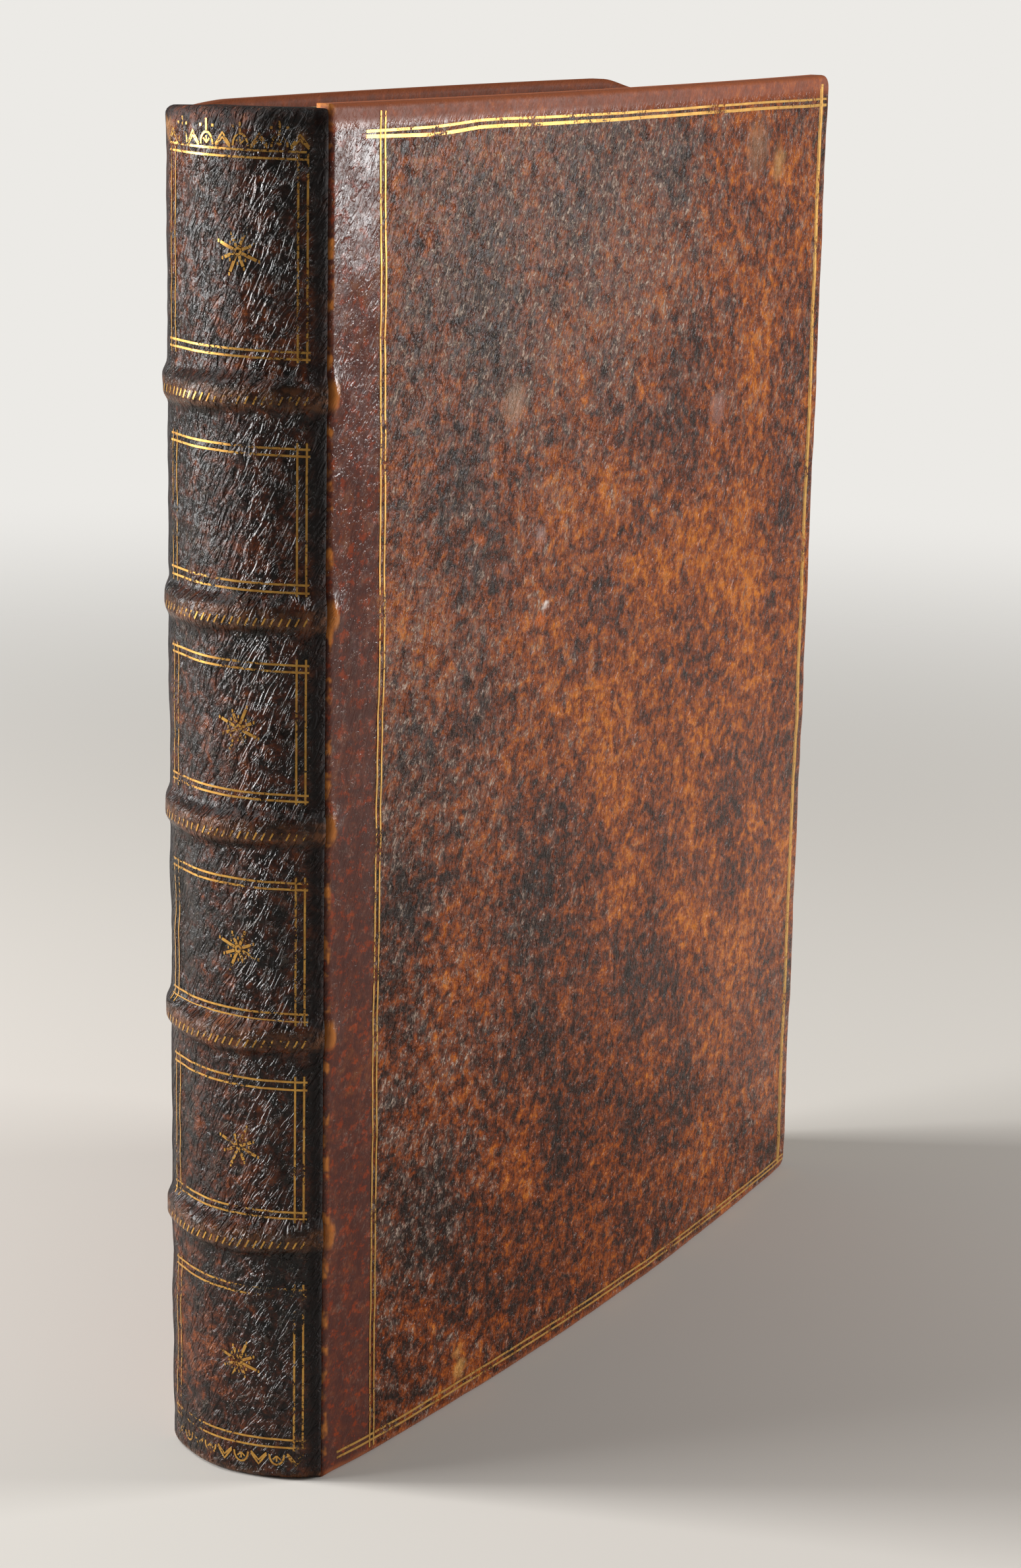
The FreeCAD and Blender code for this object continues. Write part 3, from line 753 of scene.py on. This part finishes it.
def wear(x, z, seed, size, depth):
    """Low dents and swells of old leather."""
    return depth * (noise.noise(Vector((x / size, seed, z / size))) - 0.4)


def cover_lift(x, z, seed):
    """All that the leather over a board adds to the plain bowed face: dents, the hollow beside
    the joint ridge and the swelling over each laced cord."""
    away = x - joint_x
    lift = 0.0
    for size, depth, more in (BROAD_DENT, SMALL_DENT):
        lift += wear(x, z, seed + more, size, depth)
    lift -= HOLLOW_DEPTH * (1 - ease(away, HOLLOW_START, HOLLOW_END))
    lift = max(lift, DEEPEST_DIP)
    for height in cord_heights:
        across = (away - LUMP_PLACE) / LUMP_ACROSS
        along = (z - height) / LUMP_ALONG
        lift += LUMP_RISE * math.exp(-across ** 2 - along ** 2)
    return lift


def head_drop(side, x, z):
    """How far the head of the rear board is below that of the front one."""
    if side < 0:
        return 0.0
    away = (x - joint_x) / MM
    drop = HEAD_DROP + JOINT_DROP * (1 - ease(away, 0, JOINT_DROP_END))
    drop += CORNER_DROP * ease(away, *CORNER_DROP_SPAN)
    return drop * MM * ease(z, book_height - DROP_FADE, book_height - DROP_FULL)


def flat_block(side, inset, thickness):
    """A flat block in the place of a cover, smaller by inset at each edge."""
    bm = bmesh.new()
    bmesh.ops.create_cube(bm, size=1)
    span = Vector((cover_width - 2 * inset, thickness, book_height - 2 * inset))
    middle = Vector(((joint_x + fore_x) / 2, side * (joint_y - COVER_THICKNESS / 2), book_height / 2))
    bmesh.ops.scale(bm, verts=bm.verts, vec=span)
    bmesh.ops.translate(bm, verts=bm.verts, vec=middle)
    return bm


def make_cover_leather(side, seed):
    """Calf wrapped round one board: face, rounded edges and turn-ins, open to the pastedown."""
    bm = flat_block(side, 0.0, COVER_THICKNESS)
    corners = [e for e in bm.edges if all(v.co.x > fore_x - MM for v in e.verts)
               and abs(e.verts[0].co.y - e.verts[1].co.y) > MM]
    bmesh.ops.bevel(bm, geom=corners, offset=CORNER_ROUND, segments=5, profile=0.5,
                    affect="EDGES", material=-1)
    face = side * joint_y
    rim = [e for e in bm.edges if all(abs(v.co.y - face) < TINY for v in e.verts)]
    bmesh.ops.bevel(bm, geom=rim, offset=EDGE_ROUND, segments=4, profile=0.5,
                    affect="EDGES", material=-1)
    slice_along(bm, 0, joint_x, fore_x, COVER_STEP)
    slice_along(bm, 2, 0.0, book_height, COVER_STEP)
    inner = side * (joint_y - COVER_THICKNESS)
    window = [f for f in bm.faces
              if abs(f.calc_center_median().y - inner) < TINY
              and joint_x + TURN_IN / 3 < f.calc_center_median().x < fore_x - TURN_IN
              and TURN_IN < f.calc_center_median().z < book_height - TURN_IN]
    bmesh.ops.delete(bm, geom=window, context="FACES")
    bmesh.ops.recalc_face_normals(bm, faces=bm.faces)
    skin = bm.verts.layers.float_vector.new("skin")
    for v in bm.verts:
        depth = joint_y - side * v.co.y
        v[skin] = Vector((v.co.x - joint_x, v.co.z, depth)) / MM
        share = max(0.0, 1 - depth / COVER_THICKNESS)
        lift = cover_lift(v.co.x, v.co.z, seed) * share
        v.co.y = side * (joint_y - depth + bow_at(v.co.x) + lift)
        v.co.z -= head_drop(side, v.co.x, v.co.z)
    return bm


def make_board(side):
    """The rear board, worn down with its leather at the head."""
    bm = flat_block(side, CALF_THICKNESS + BOARD_ROOM, COVER_THICKNESS - 2 * CALF_THICKNESS - BOARD_ROOM)
    slice_along(bm, 0, joint_x, fore_x, BOARD_STEP)
    slice_along(bm, 2, book_height - DROP_FADE - BOARD_STEP, book_height, BOARD_STEP)
    bmesh.ops.recalc_face_normals(bm, faces=bm.faces)
    for v in bm.verts:
        v.co.y += side * bow_at(v.co.x)
        v.co.z -= head_drop(side, v.co.x, v.co.z)
    return bm


for cover, side, material in (("front", -1, front_calf), ("rear", 1, rear_calf)):
    piece = keep_piece(make_cover_leather(side, SEEDS[side]), f"{cover}_cover_calf", material,
                       f"{cover}_cover", [f"{cover}_cover_leather"])
    thicken(piece, CALF_THICKNESS)
keep_piece(make_board(1), "rear_worn_board", pasteboard, "rear_cover", ["rear_board"])


# Spine leather: the same skin moulded wet over the five cords and turned over
# the headbands, darker than the covers from light and handling.
SPINE_RISE = 8.3 * MM
GROOVE_DEPTH = 1.3 * MM
SHOULDER_GAP = 0.35 * MM
BAND_RISE = joint_x - SPINE_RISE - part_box("spine_leather")[0].x
BAND_END_RISE = 1.0 * MM
BAND_CREST = 1.3 * MM
BAND_FOOT = 4.3 * MM
CAP_ROUND = 1.6 * MM
CAP_DEPTH = 4.6 * MM
SPINE_STEP = 0.65 * MM

# Dents of the spine leather: size of the waves, depth and seed
SPINE_DENTS = ((9 * MM, 0.32 * MM, 21.0), (3 * MM, 0.1 * MM, 25.0))
SHOULDER_RISE = 0.8 * MM
SHOULDER_SPAN = (math.radians(27), math.radians(47))

# How far a band strays from its cord, and the share of its rise that it keeps
BAND_STRAY = 0.35 * MM
BAND_KEPT = 0.93
BAND_SWING = 0.1

# How far the head cap is pressed down at the front, and how much more towards the rear joint
CAP_SINK = 0.8
REAR_CAP_SINK = 0.7
REAR_CAP_SPAN = (0.1, 0.8)

spine_half = joint_y - GROOVE_DEPTH
spine_sag = SPINE_RISE - SHOULDER_GAP
spine_radius = (spine_half ** 2 + spine_sag ** 2) / (2 * spine_sag)
spine_centre = joint_x - SPINE_RISE + spine_radius
spine_turn = math.asin(spine_half / spine_radius)


def band_lift(turn, z):
    """How far the raised bands lift the spine leather at a height."""
    rise = BAND_END_RISE + (BAND_RISE - BAND_END_RISE) * math.cos(turn / spine_turn * math.pi / 2)
    total = 0.0
    for height in cord_heights:
        away = abs(z - height + BAND_STRAY * math.sin(turn * 4 + height * 900))
        total += rise * (1 - ease(away, BAND_CREST, BAND_FOOT))
    return total


def spine_lift(turn, z):
    """All that the spine leather adds to its plain round."""
    worn = 0.0
    for size, depth, seed in SPINE_DENTS:
        worn += wear(turn * spine_radius, z, seed, size, depth)
    shoulder = SHOULDER_RISE * ease(abs(turn), *SHOULDER_SPAN)
    kept = BAND_KEPT + BAND_SWING * noise.noise(Vector((turn * 6, z * 300, 4)))
    return band_lift(turn, z) * kept + shoulder + worn


def spine_spot(turn, z, proud=0.0):
    """A point of the spine leather, proud of its face."""
    radius = spine_radius + spine_lift(turn, z) + proud
    return Vector((spine_centre - radius * math.cos(turn), radius * math.sin(turn), z))


def cap_sink(turn):
    """How far the head cap has been pressed down, most towards the rear joint."""
    return (CAP_SINK + REAR_CAP_SINK * ease(turn, *REAR_CAP_SPAN)) * MM


def spine_run(along, turn):
    """A point of the spine leather along its length, over the caps at both ends."""
    top = book_height - cap_sink(turn)
    bend = CAP_ROUND * math.pi / 2
    straight = book_height - 2 * CAP_ROUND
    over = max(-along, along - straight, 0.0)
    if over == 0.0:
        return spine_spot(turn, CAP_ROUND + along / straight * (top - 2 * CAP_ROUND))
    end = 1 if along > straight else -1
    base = top - CAP_ROUND if end > 0 else CAP_ROUND
    angle = min(over, bend) / CAP_ROUND
    inward = CAP_ROUND * (1 - math.cos(angle)) + max(over - bend, 0.0)
    z = base + end * CAP_ROUND * math.sin(angle)
    radius = spine_radius + spine_lift(turn, base) * (1 - min(inward / CAP_DEPTH, 1.0)) - inward
    return Vector((spine_centre - radius * math.cos(turn), radius * math.sin(turn), z))


def make_spine_leather():
    """The skin of the spine as one sheet, laid out flat and then carried over bands and caps."""
    bm = bmesh.new()
    straight = book_height - 2 * CAP_ROUND
    over = CAP_ROUND * math.pi / 2 + CAP_DEPTH - CAP_ROUND
    rows = round((straight + 2 * over) / SPINE_STEP)
    columns = round(2 * spine_turn * spine_radius / SPINE_STEP)
    bmesh.ops.create_grid(bm, x_segments=columns, y_segments=rows, size=1)
    skin = bm.verts.layers.float_vector.new("skin")
    for v in bm.verts:
        turn = -v.co.x * spine_turn
        along = (v.co.y + 1) / 2 * (straight + 2 * over) - over
        v[skin] = Vector((turn * spine_radius, along + CAP_ROUND, 0)) / MM
        v.co = spine_run(along, turn)
    return bm


SPINE_TONES = ["050201", "120602", "260e05", "451d09", "72370e"]
# Film: grey of the dulled glaze with painted sheen over it. Flake: pale curl of the cracks with painted
# glints
SPINE_FILM_SHEEN = "3a302a"
SPINE_FLAKE_GLINT = "a29484"
SPINE_START = 1500.0
SPINE_GLEAM = 0.25
SPINE_BUMP = 0.5

# The crack at the rear of the second band, and the cap where it is rubbed brown
SPINE_MARKS = [
    (13.6, 181.0, 1.3, "060201", 0.95), (13.3, 179.0, 1.3, "060201", 0.95),
    (14.4, 177.0, 1.3, "060201", 0.95), (15.6, 175.0, 1.4, "060201", 0.9),
    (17.2, 264.2, 3.0, "9a6b3e", 0.8), (-15.0, 262.5, 2.0, "8a5a34", 0.6)]

dark_calf = calf("dark_spine_calf", SPINE_TONES, SPINE_FILM_SHEEN, SPINE_FLAKE_GLINT, SPINE_START, SPINE_GLEAM,
                 SPINE_BUMP, marks=SPINE_MARKS, on_board=False)
spine = keep_piece(make_spine_leather(), "spine_calf", dark_calf, "book_block",
                   ["spine_leather"])
thicken(spine, CALF_THICKNESS)


# Joint leather: the same skin where it dips between spine and board. Each strip
# runs from the spine at one edge to the board at the other.

# Points of the valley from spine to board, in millimetres from the joint ridge towards
# the fore-edge and outwards
JOINT_VALLEY = [(-0.75, -1.65), (-0.5, -2.0), (0.05, -2.2), (0.35, -2.4)]
JOINT_THICKNESS = 0.5 * MM
JOINT_ROW = 2 * MM
JOINT_TAIL = 2 * MM
JOINT_SHORT = 6.5 * MM

# Girth that the skin has reached in the joint, so that it takes the shoulder's colour and its painted shade
JOINT_GIRTH = 20


def make_joint_strip(side):
    """A narrow valley of leather from the shoulder of the spine to the joint ridge of the board."""
    bm = bmesh.new()
    line = [(joint_x + x * MM, joint_y + y * MM) for x, y in JOINT_VALLEY]
    rows = round(book_height / JOINT_ROW)
    bmesh.ops.create_grid(bm, x_segments=len(line) - 1, y_segments=rows, size=1)
    skin = bm.verts.layers.float_vector.new("skin")
    for v in bm.verts:
        place = round((1 - side * v.co.x) / 2 * (len(line) - 1))
        z = JOINT_TAIL + (v.co.y + 1) / 2 * (book_height - JOINT_SHORT)
        x, y = line[place]
        v[skin] = Vector((side * (JOINT_GIRTH + place), z / MM, 0))
        v.co = Vector((x, side * y, z))
    return bm, line


for cover, side in (("front", -1), ("rear", 1)):
    strip_mesh, strip_line = make_joint_strip(side)
    strip = keep_piece(strip_mesh, f"{cover}_joint_calf", dark_calf, None)
    thicken(strip, JOINT_THICKNESS)
    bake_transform(strip)


# Gold tooling on the covers: double fillets run with a wheel along all four sides.
# Gold leaf in glair, thin and rubbed through in places, with overruns at the corners.
GILT_PROUD = 0.07 * MM
FILLET_WIDTH = 0.5 * MM
FILLET_STEP = 1.0
FILLET_SHAKE = 0.12 * MM
GOLD_METAL = 0.75
GOLD_ROUGHNESS = 0.38

# Each fillet of a cover: its width as a share of FILLET_WIDTH, and its points in
# millimetres from the joint ridge and from the tail
COVER_FILLETS = [
    (1.0, [(14.0, 1.5), (14.0, 90), (14.7, 160), (14.6, 215), (13.6, 255), (13.6, 266.5)]),
    (1.0, [(15.3, 1.5), (15.3, 90), (16.1, 160), (16.0, 215), (15.0, 255), (15.0, 266.5)]),
    (1.0, [(9.5, 262.9), (30, 263.0), (45, 263.7), (110, 263.2), (160, 263.2), (206, 262.6)]),
    (1.3, [(9.5, 262.0), (30, 261.6), (45, 262.4), (110, 262.0), (160, 261.9), (206, 261.2)]),
    (2.2, [(203.0, 2.0), (203.4, 130), (203.0, 266)]),
    (0.6, [(201.9, 3.0), (202.2, 130), (201.8, 265)]),
    (1.0, [(4.0, 2.9), (60, 3.1), (120, 2.8), (206.5, 2.2)]),
    (1.0, [(4.0, 4.1), (60, 4.4), (120, 4.0), (206.5, 3.3)]),
]


def gold_leaf(name, colour, worn, kept):
    """Rubbed gold leaf: bright metal where it is kept, nothing where the leather shows through."""
    material, tree, surface = new_material(name)
    mm = reckon_vector(tree, "MULTIPLY", object_place(tree), (1 / MM, 1 / MM, 1 / MM))
    long = cloud(tree, mm, 9.0, 2.0)
    short = cloud(tree, mm, 0.7, 3.0, 0.7)
    total = reckon(tree, "MULTIPLY_ADD", long, 0.6, reckon(tree, "MULTIPLY", short, 0.6))
    left = even_out(tree, total, kept, kept + 0.08)
    tint = blend_colour(tree, cloud(tree, mm, 1.5, 2.0), linear(worn), linear(colour))
    tree.links.new(tint, surface.inputs["Base Color"])
    tree.links.new(left, surface.inputs["Alpha"])
    surface.inputs["Metallic"].default_value = GOLD_METAL
    surface.inputs["Roughness"].default_value = GOLD_ROUGHNESS
    return material


def add_ribbon(bm, spots, normals, width):
    """A strip of leaf along a row of points on the leather."""
    rows = []
    for place, spot in enumerate(spots):
        ahead_one = spots[min(place + 1, len(spots) - 1)]
        back_one = spots[max(place - 1, 0)]
        aside = (ahead_one - back_one).cross(normals[place]).normalized() * width / 2
        rows.append((bm.verts.new(spot - aside), bm.verts.new(spot + aside)))
    for (a, b), (c, d) in zip(rows, rows[1:]):
        bm.faces.new((a, b, d, c))


def add_cover_line(bm, side, points, width):
    """A fillet over a cover along points given in millimetres from the joint and from the tail."""
    spots = []
    for (x0, z0), (x1, z1) in zip(points, points[1:]):
        steps = max(1, round(math.hypot(x1 - x0, z1 - z0) / FILLET_STEP))
        for step in range(steps + (1 if (x1, z1) == points[-1] else 0)):
            share = step / steps
            x = joint_x + (x0 + (x1 - x0) * share) * MM
            z = (z0 + (z1 - z0) * share) * MM
            shake = FILLET_SHAKE * noise.noise(Vector((x * 60, z * 60, side)))
            x += shake
            z += shake
            y = side * (joint_y + bow_at(x) + cover_lift(x, z, SEEDS[side]) + GILT_PROUD)
            spots.append(Vector((x, y, z - head_drop(side, x, z))))
    normals = [Vector((0, side, 0))] * len(spots)
    if side > 0:
        spots.reverse()
    add_ribbon(bm, spots, normals, width)


cover_gold = gold_leaf("cover_gold", "e2b766", "a8702a", 0.48)
for cover, side in (("front", -1), ("rear", 1)):
    bm = bmesh.new()
    for share, points in COVER_FILLETS:
        add_cover_line(bm, side, points, FILLET_WIDTH * share)
    keep_piece(bm, f"{cover}_cover_gilding", cover_gold, f"{cover}_cover")


# Gold tooling on the spine: double fillets above and below each band, a pair down
# each side, one flower in each panel but the second, and rolls at head and tail.

# Middles of the tooling in millimetres from the tail
HEAD_ROLL = 260.3
TAIL_ROLL = 5.4
HEAD_LINES = (258.4, 259.7)
PANEL_LINES = [(223.9, 222.6), (206.2, 204.9), (180.9, 179.4), (165.7, 164.4), (140.7, 139.5),
               (123.5, 122.2), (97.5, 96.1), (83.8, 82.2), (57.0, 55.7), (40.8, 39.4), (8.9, 7.2)]
PANEL_SPANS = [(222.6, 258.4), (179.4, 206.2), (139.5, 165.7), (96.1, 123.5), (55.7, 83.8), (7.2, 40.8)]
FLOWER_HEIGHTS = [241.5, 152.8, 109.5, 69.5, 24.5]

# The same round the girth, where 0 is the middle of the spine
SIDE_LINES = (15.7, 14.1, -14.5, -16.2)
SIDE_OVERRUN = 0.9
FLOWER_GIRTH = -3.2
PETALS = 8
LONG_PETAL = 4.0
SHORT_PETAL = 2.9
PETAL_START = 0.9
EYE_REACH = 0.6
TIP_GAP = 0.5
TIP_HALF = 0.175
NOOK_REACH = 2.2
NOOK_HALF = 0.15
ROLL_STEP = 3.7
ROLL_HALF_COUNT = 4
ARCH_WIDE = 1.5
ARCH_TALL = 2.2
ARCH_STEPS = 8
VEIN_START = 0.3
VEIN_WIDE = 1.1
VEIN_TALL = 1.5
FINIAL_SPAN = (2.5, 4.6)
DOT_LEVEL = 3.4
DOT_HALF = 0.25
CHEVRON_WIDE = 1.6
CHEVRON_TALL = 2.3
CHEVRON_LIFTS = (0.0, -0.9)
HATCH_COUNT = 11
HATCH_STEP = 1.45
HATCH_DROP = 0.5
TOOL_STEP = 0.7

# Widths of the tools
PANEL_LINE_WIDTH = 0.42 * MM
LINE_WIDTH = 0.4 * MM
PETAL_WIDTH = 0.6 * MM
DOT_WIDTH = 0.5 * MM
FINIAL_WIDTH = 0.45 * MM
CHEVRON_WIDTH = 0.38 * MM
HATCH_WIDTH = 0.33 * MM
VEIN_WIDTH = 0.3 * MM


def add_spine_line(bm, points, width):
    """A line over the spine along points given in millimetres round the girth and from the tail."""
    spots = []
    normals = []
    for (g0, z0), (g1, z1) in zip(points, points[1:]):
        steps = max(1, round(math.hypot(g1 - g0, z1 - z0) / TOOL_STEP))
        for step in range(steps + (1 if (g1, z1) == points[-1] else 0)):
            share = step / steps
            turn = (g0 + (g1 - g0) * share) * MM / spine_radius
            z = (z0 + (z1 - z0) * share) * MM
            spots.append(spine_spot(turn, z, GILT_PROUD))
            normals.append(Vector((-math.cos(turn), math.sin(turn), 0)))
    add_ribbon(bm, spots, normals, width)


def around(middle, reach, angle):
    """A point at a reach and an angle from a middle."""
    return middle[0] + reach * math.cos(angle), middle[1] + reach * math.sin(angle)


def add_dash(bm, spot, half, width):
    """A short level stroke of a tool."""
    add_spine_line(bm, [(spot[0] - half, spot[1]), (spot[0] + half, spot[1])], width)


def add_flower(bm, middle):
    """A small flower stamp: petals, long and short by turns, round an eye, with dots about them."""
    for petal in range(PETALS):
        angle = 2 * math.pi / PETALS * petal + math.pi / PETALS
        long = LONG_PETAL if petal % 2 == 0 else SHORT_PETAL
        add_spine_line(bm, [around(middle, PETAL_START, angle), around(middle, long, angle)], PETAL_WIDTH)
        add_dash(bm, around(middle, long + TIP_GAP, angle), TIP_HALF, PETAL_WIDTH)
        add_dash(bm, around(middle, NOOK_REACH, angle + math.pi / PETALS), NOOK_HALF, PETAL_WIDTH)
    ring = [around(middle, EYE_REACH, turn * 2 * math.pi / PETALS) for turn in range(PETALS + 1)]
    add_spine_line(bm, ring, DOT_WIDTH)


def add_roll(bm, z, way):
    """A roll of half-round arches and chevrons by turns, with a finial and two dots over each head arch."""
    for place in range(-ROLL_HALF_COUNT, ROLL_HALF_COUNT + 1):
        girth = place * ROLL_STEP
        if place % 2:
            angles = [math.pi * k / ARCH_STEPS for k in range(ARCH_STEPS + 1)]
            arch = [(girth + ARCH_WIDE * math.cos(a), z + way * ARCH_TALL * math.sin(a)) for a in angles]
            add_spine_line(bm, arch, LINE_WIDTH)
            for a in angles[2:-1:2]:
                end = (girth + VEIN_WIDE * math.cos(a), z + way * VEIN_TALL * math.sin(a))
                add_spine_line(bm, [(girth, z + way * VEIN_START), end], VEIN_WIDTH)
            if way > 0:
                add_spine_line(bm, [(girth, z + level) for level in FINIAL_SPAN], FINIAL_WIDTH)
                for aside in (-ARCH_WIDE, ARCH_WIDE):
                    add_dash(bm, (girth + aside, z + DOT_LEVEL), DOT_HALF, DOT_WIDTH)
        else:
            for lift in CHEVRON_LIFTS:
                foot = z + way * (0.1 + lift * 0.4)
                peak = (girth, z + way * (CHEVRON_TALL + lift))
                add_spine_line(bm, [(girth - CHEVRON_WIDE, foot), peak, (girth + CHEVRON_WIDE, foot)],
                               CHEVRON_WIDTH)


spine_gold = gold_leaf("spine_gold", "e6b65c", "8e5424", 0.51)
bm = bmesh.new()
for pair in PANEL_LINES:
    for z in pair:
        add_spine_line(bm, [(16.4, z + 0.2), (0, z), (-16.8, z - 0.3)], PANEL_LINE_WIDTH)
for z in HEAD_LINES:
    add_spine_line(bm, [(16.4, z + 0.2), (0, z), (-16.0, z - 0.2)], LINE_WIDTH)
for low, high in PANEL_SPANS:
    for girth in SIDE_LINES:
        add_spine_line(bm, [(girth, low - SIDE_OVERRUN), (girth, high + SIDE_OVERRUN)], LINE_WIDTH)
for z in FLOWER_HEIGHTS:
    add_flower(bm, (FLOWER_GIRTH, z))
add_roll(bm, HEAD_ROLL, 1)
add_roll(bm, TAIL_ROLL, -1)
for height in cord_heights:
    for place in range(-HATCH_COUNT, HATCH_COUNT + 1):
        girth = place * HATCH_STEP
        z = height / MM - HATCH_DROP
        add_spine_line(bm, [(girth + 0.35, z - 1.0), (girth - 0.35, z + 0.5)], HATCH_WIDTH)
keep_piece(bm, "spine_gilding", spine_gold, "book_block")


# Paper joints: the fold of each endpaper from the board to the text block. The
# paper follows the board at one edge and the leaves at the other.

# Points of the fold from board to leaf, in millimetres from the joint ridge towards the
# fore-edge, and outwards from the board's inner face
FOLD_LINE = [(1.6, 0.0), (0.5, -0.12), (0.5, -0.6), (1.6, -0.7)]
FOLD_THICKNESS = 0.12 * MM
FOLD_SHORT = 1.5 * MM
FOLD_ROOM = 0.15 * MM
FOLD_ROWS = 40


def make_paper_joint(side):
    """The folded strip between a pastedown and its free leaf."""
    bm = bmesh.new()
    inner = joint_y - COVER_THICKNESS - FOLD_ROOM
    line = [(joint_x + x * MM, inner + y * MM) for x, y in FOLD_LINE]
    leaf_low, leaf_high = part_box("front_free_endpaper")
    low = leaf_low.z + FOLD_SHORT
    high = leaf_high.z - FOLD_SHORT
    bmesh.ops.create_grid(bm, x_segments=len(line) - 1, y_segments=FOLD_ROWS, size=1)
    for v in bm.verts:
        place = round((v.co.x + 1) / 2 * (len(line) - 1))
        x, y = line[place]
        v.co = Vector((x, side * (y + bow_at(x)), low + (v.co.y + 1) / 2 * (high - low)))
    bmesh.ops.recalc_face_normals(bm, faces=bm.faces)
    return bm, line


for cover, side in (("front", -1), ("rear", 1)):
    fold_mesh, fold_line = make_paper_joint(side)
    fold = keep_piece(fold_mesh, f"{cover}_paper_joint", endpaper, None)
    thicken(fold, FOLD_THICKNESS)
    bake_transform(fold)
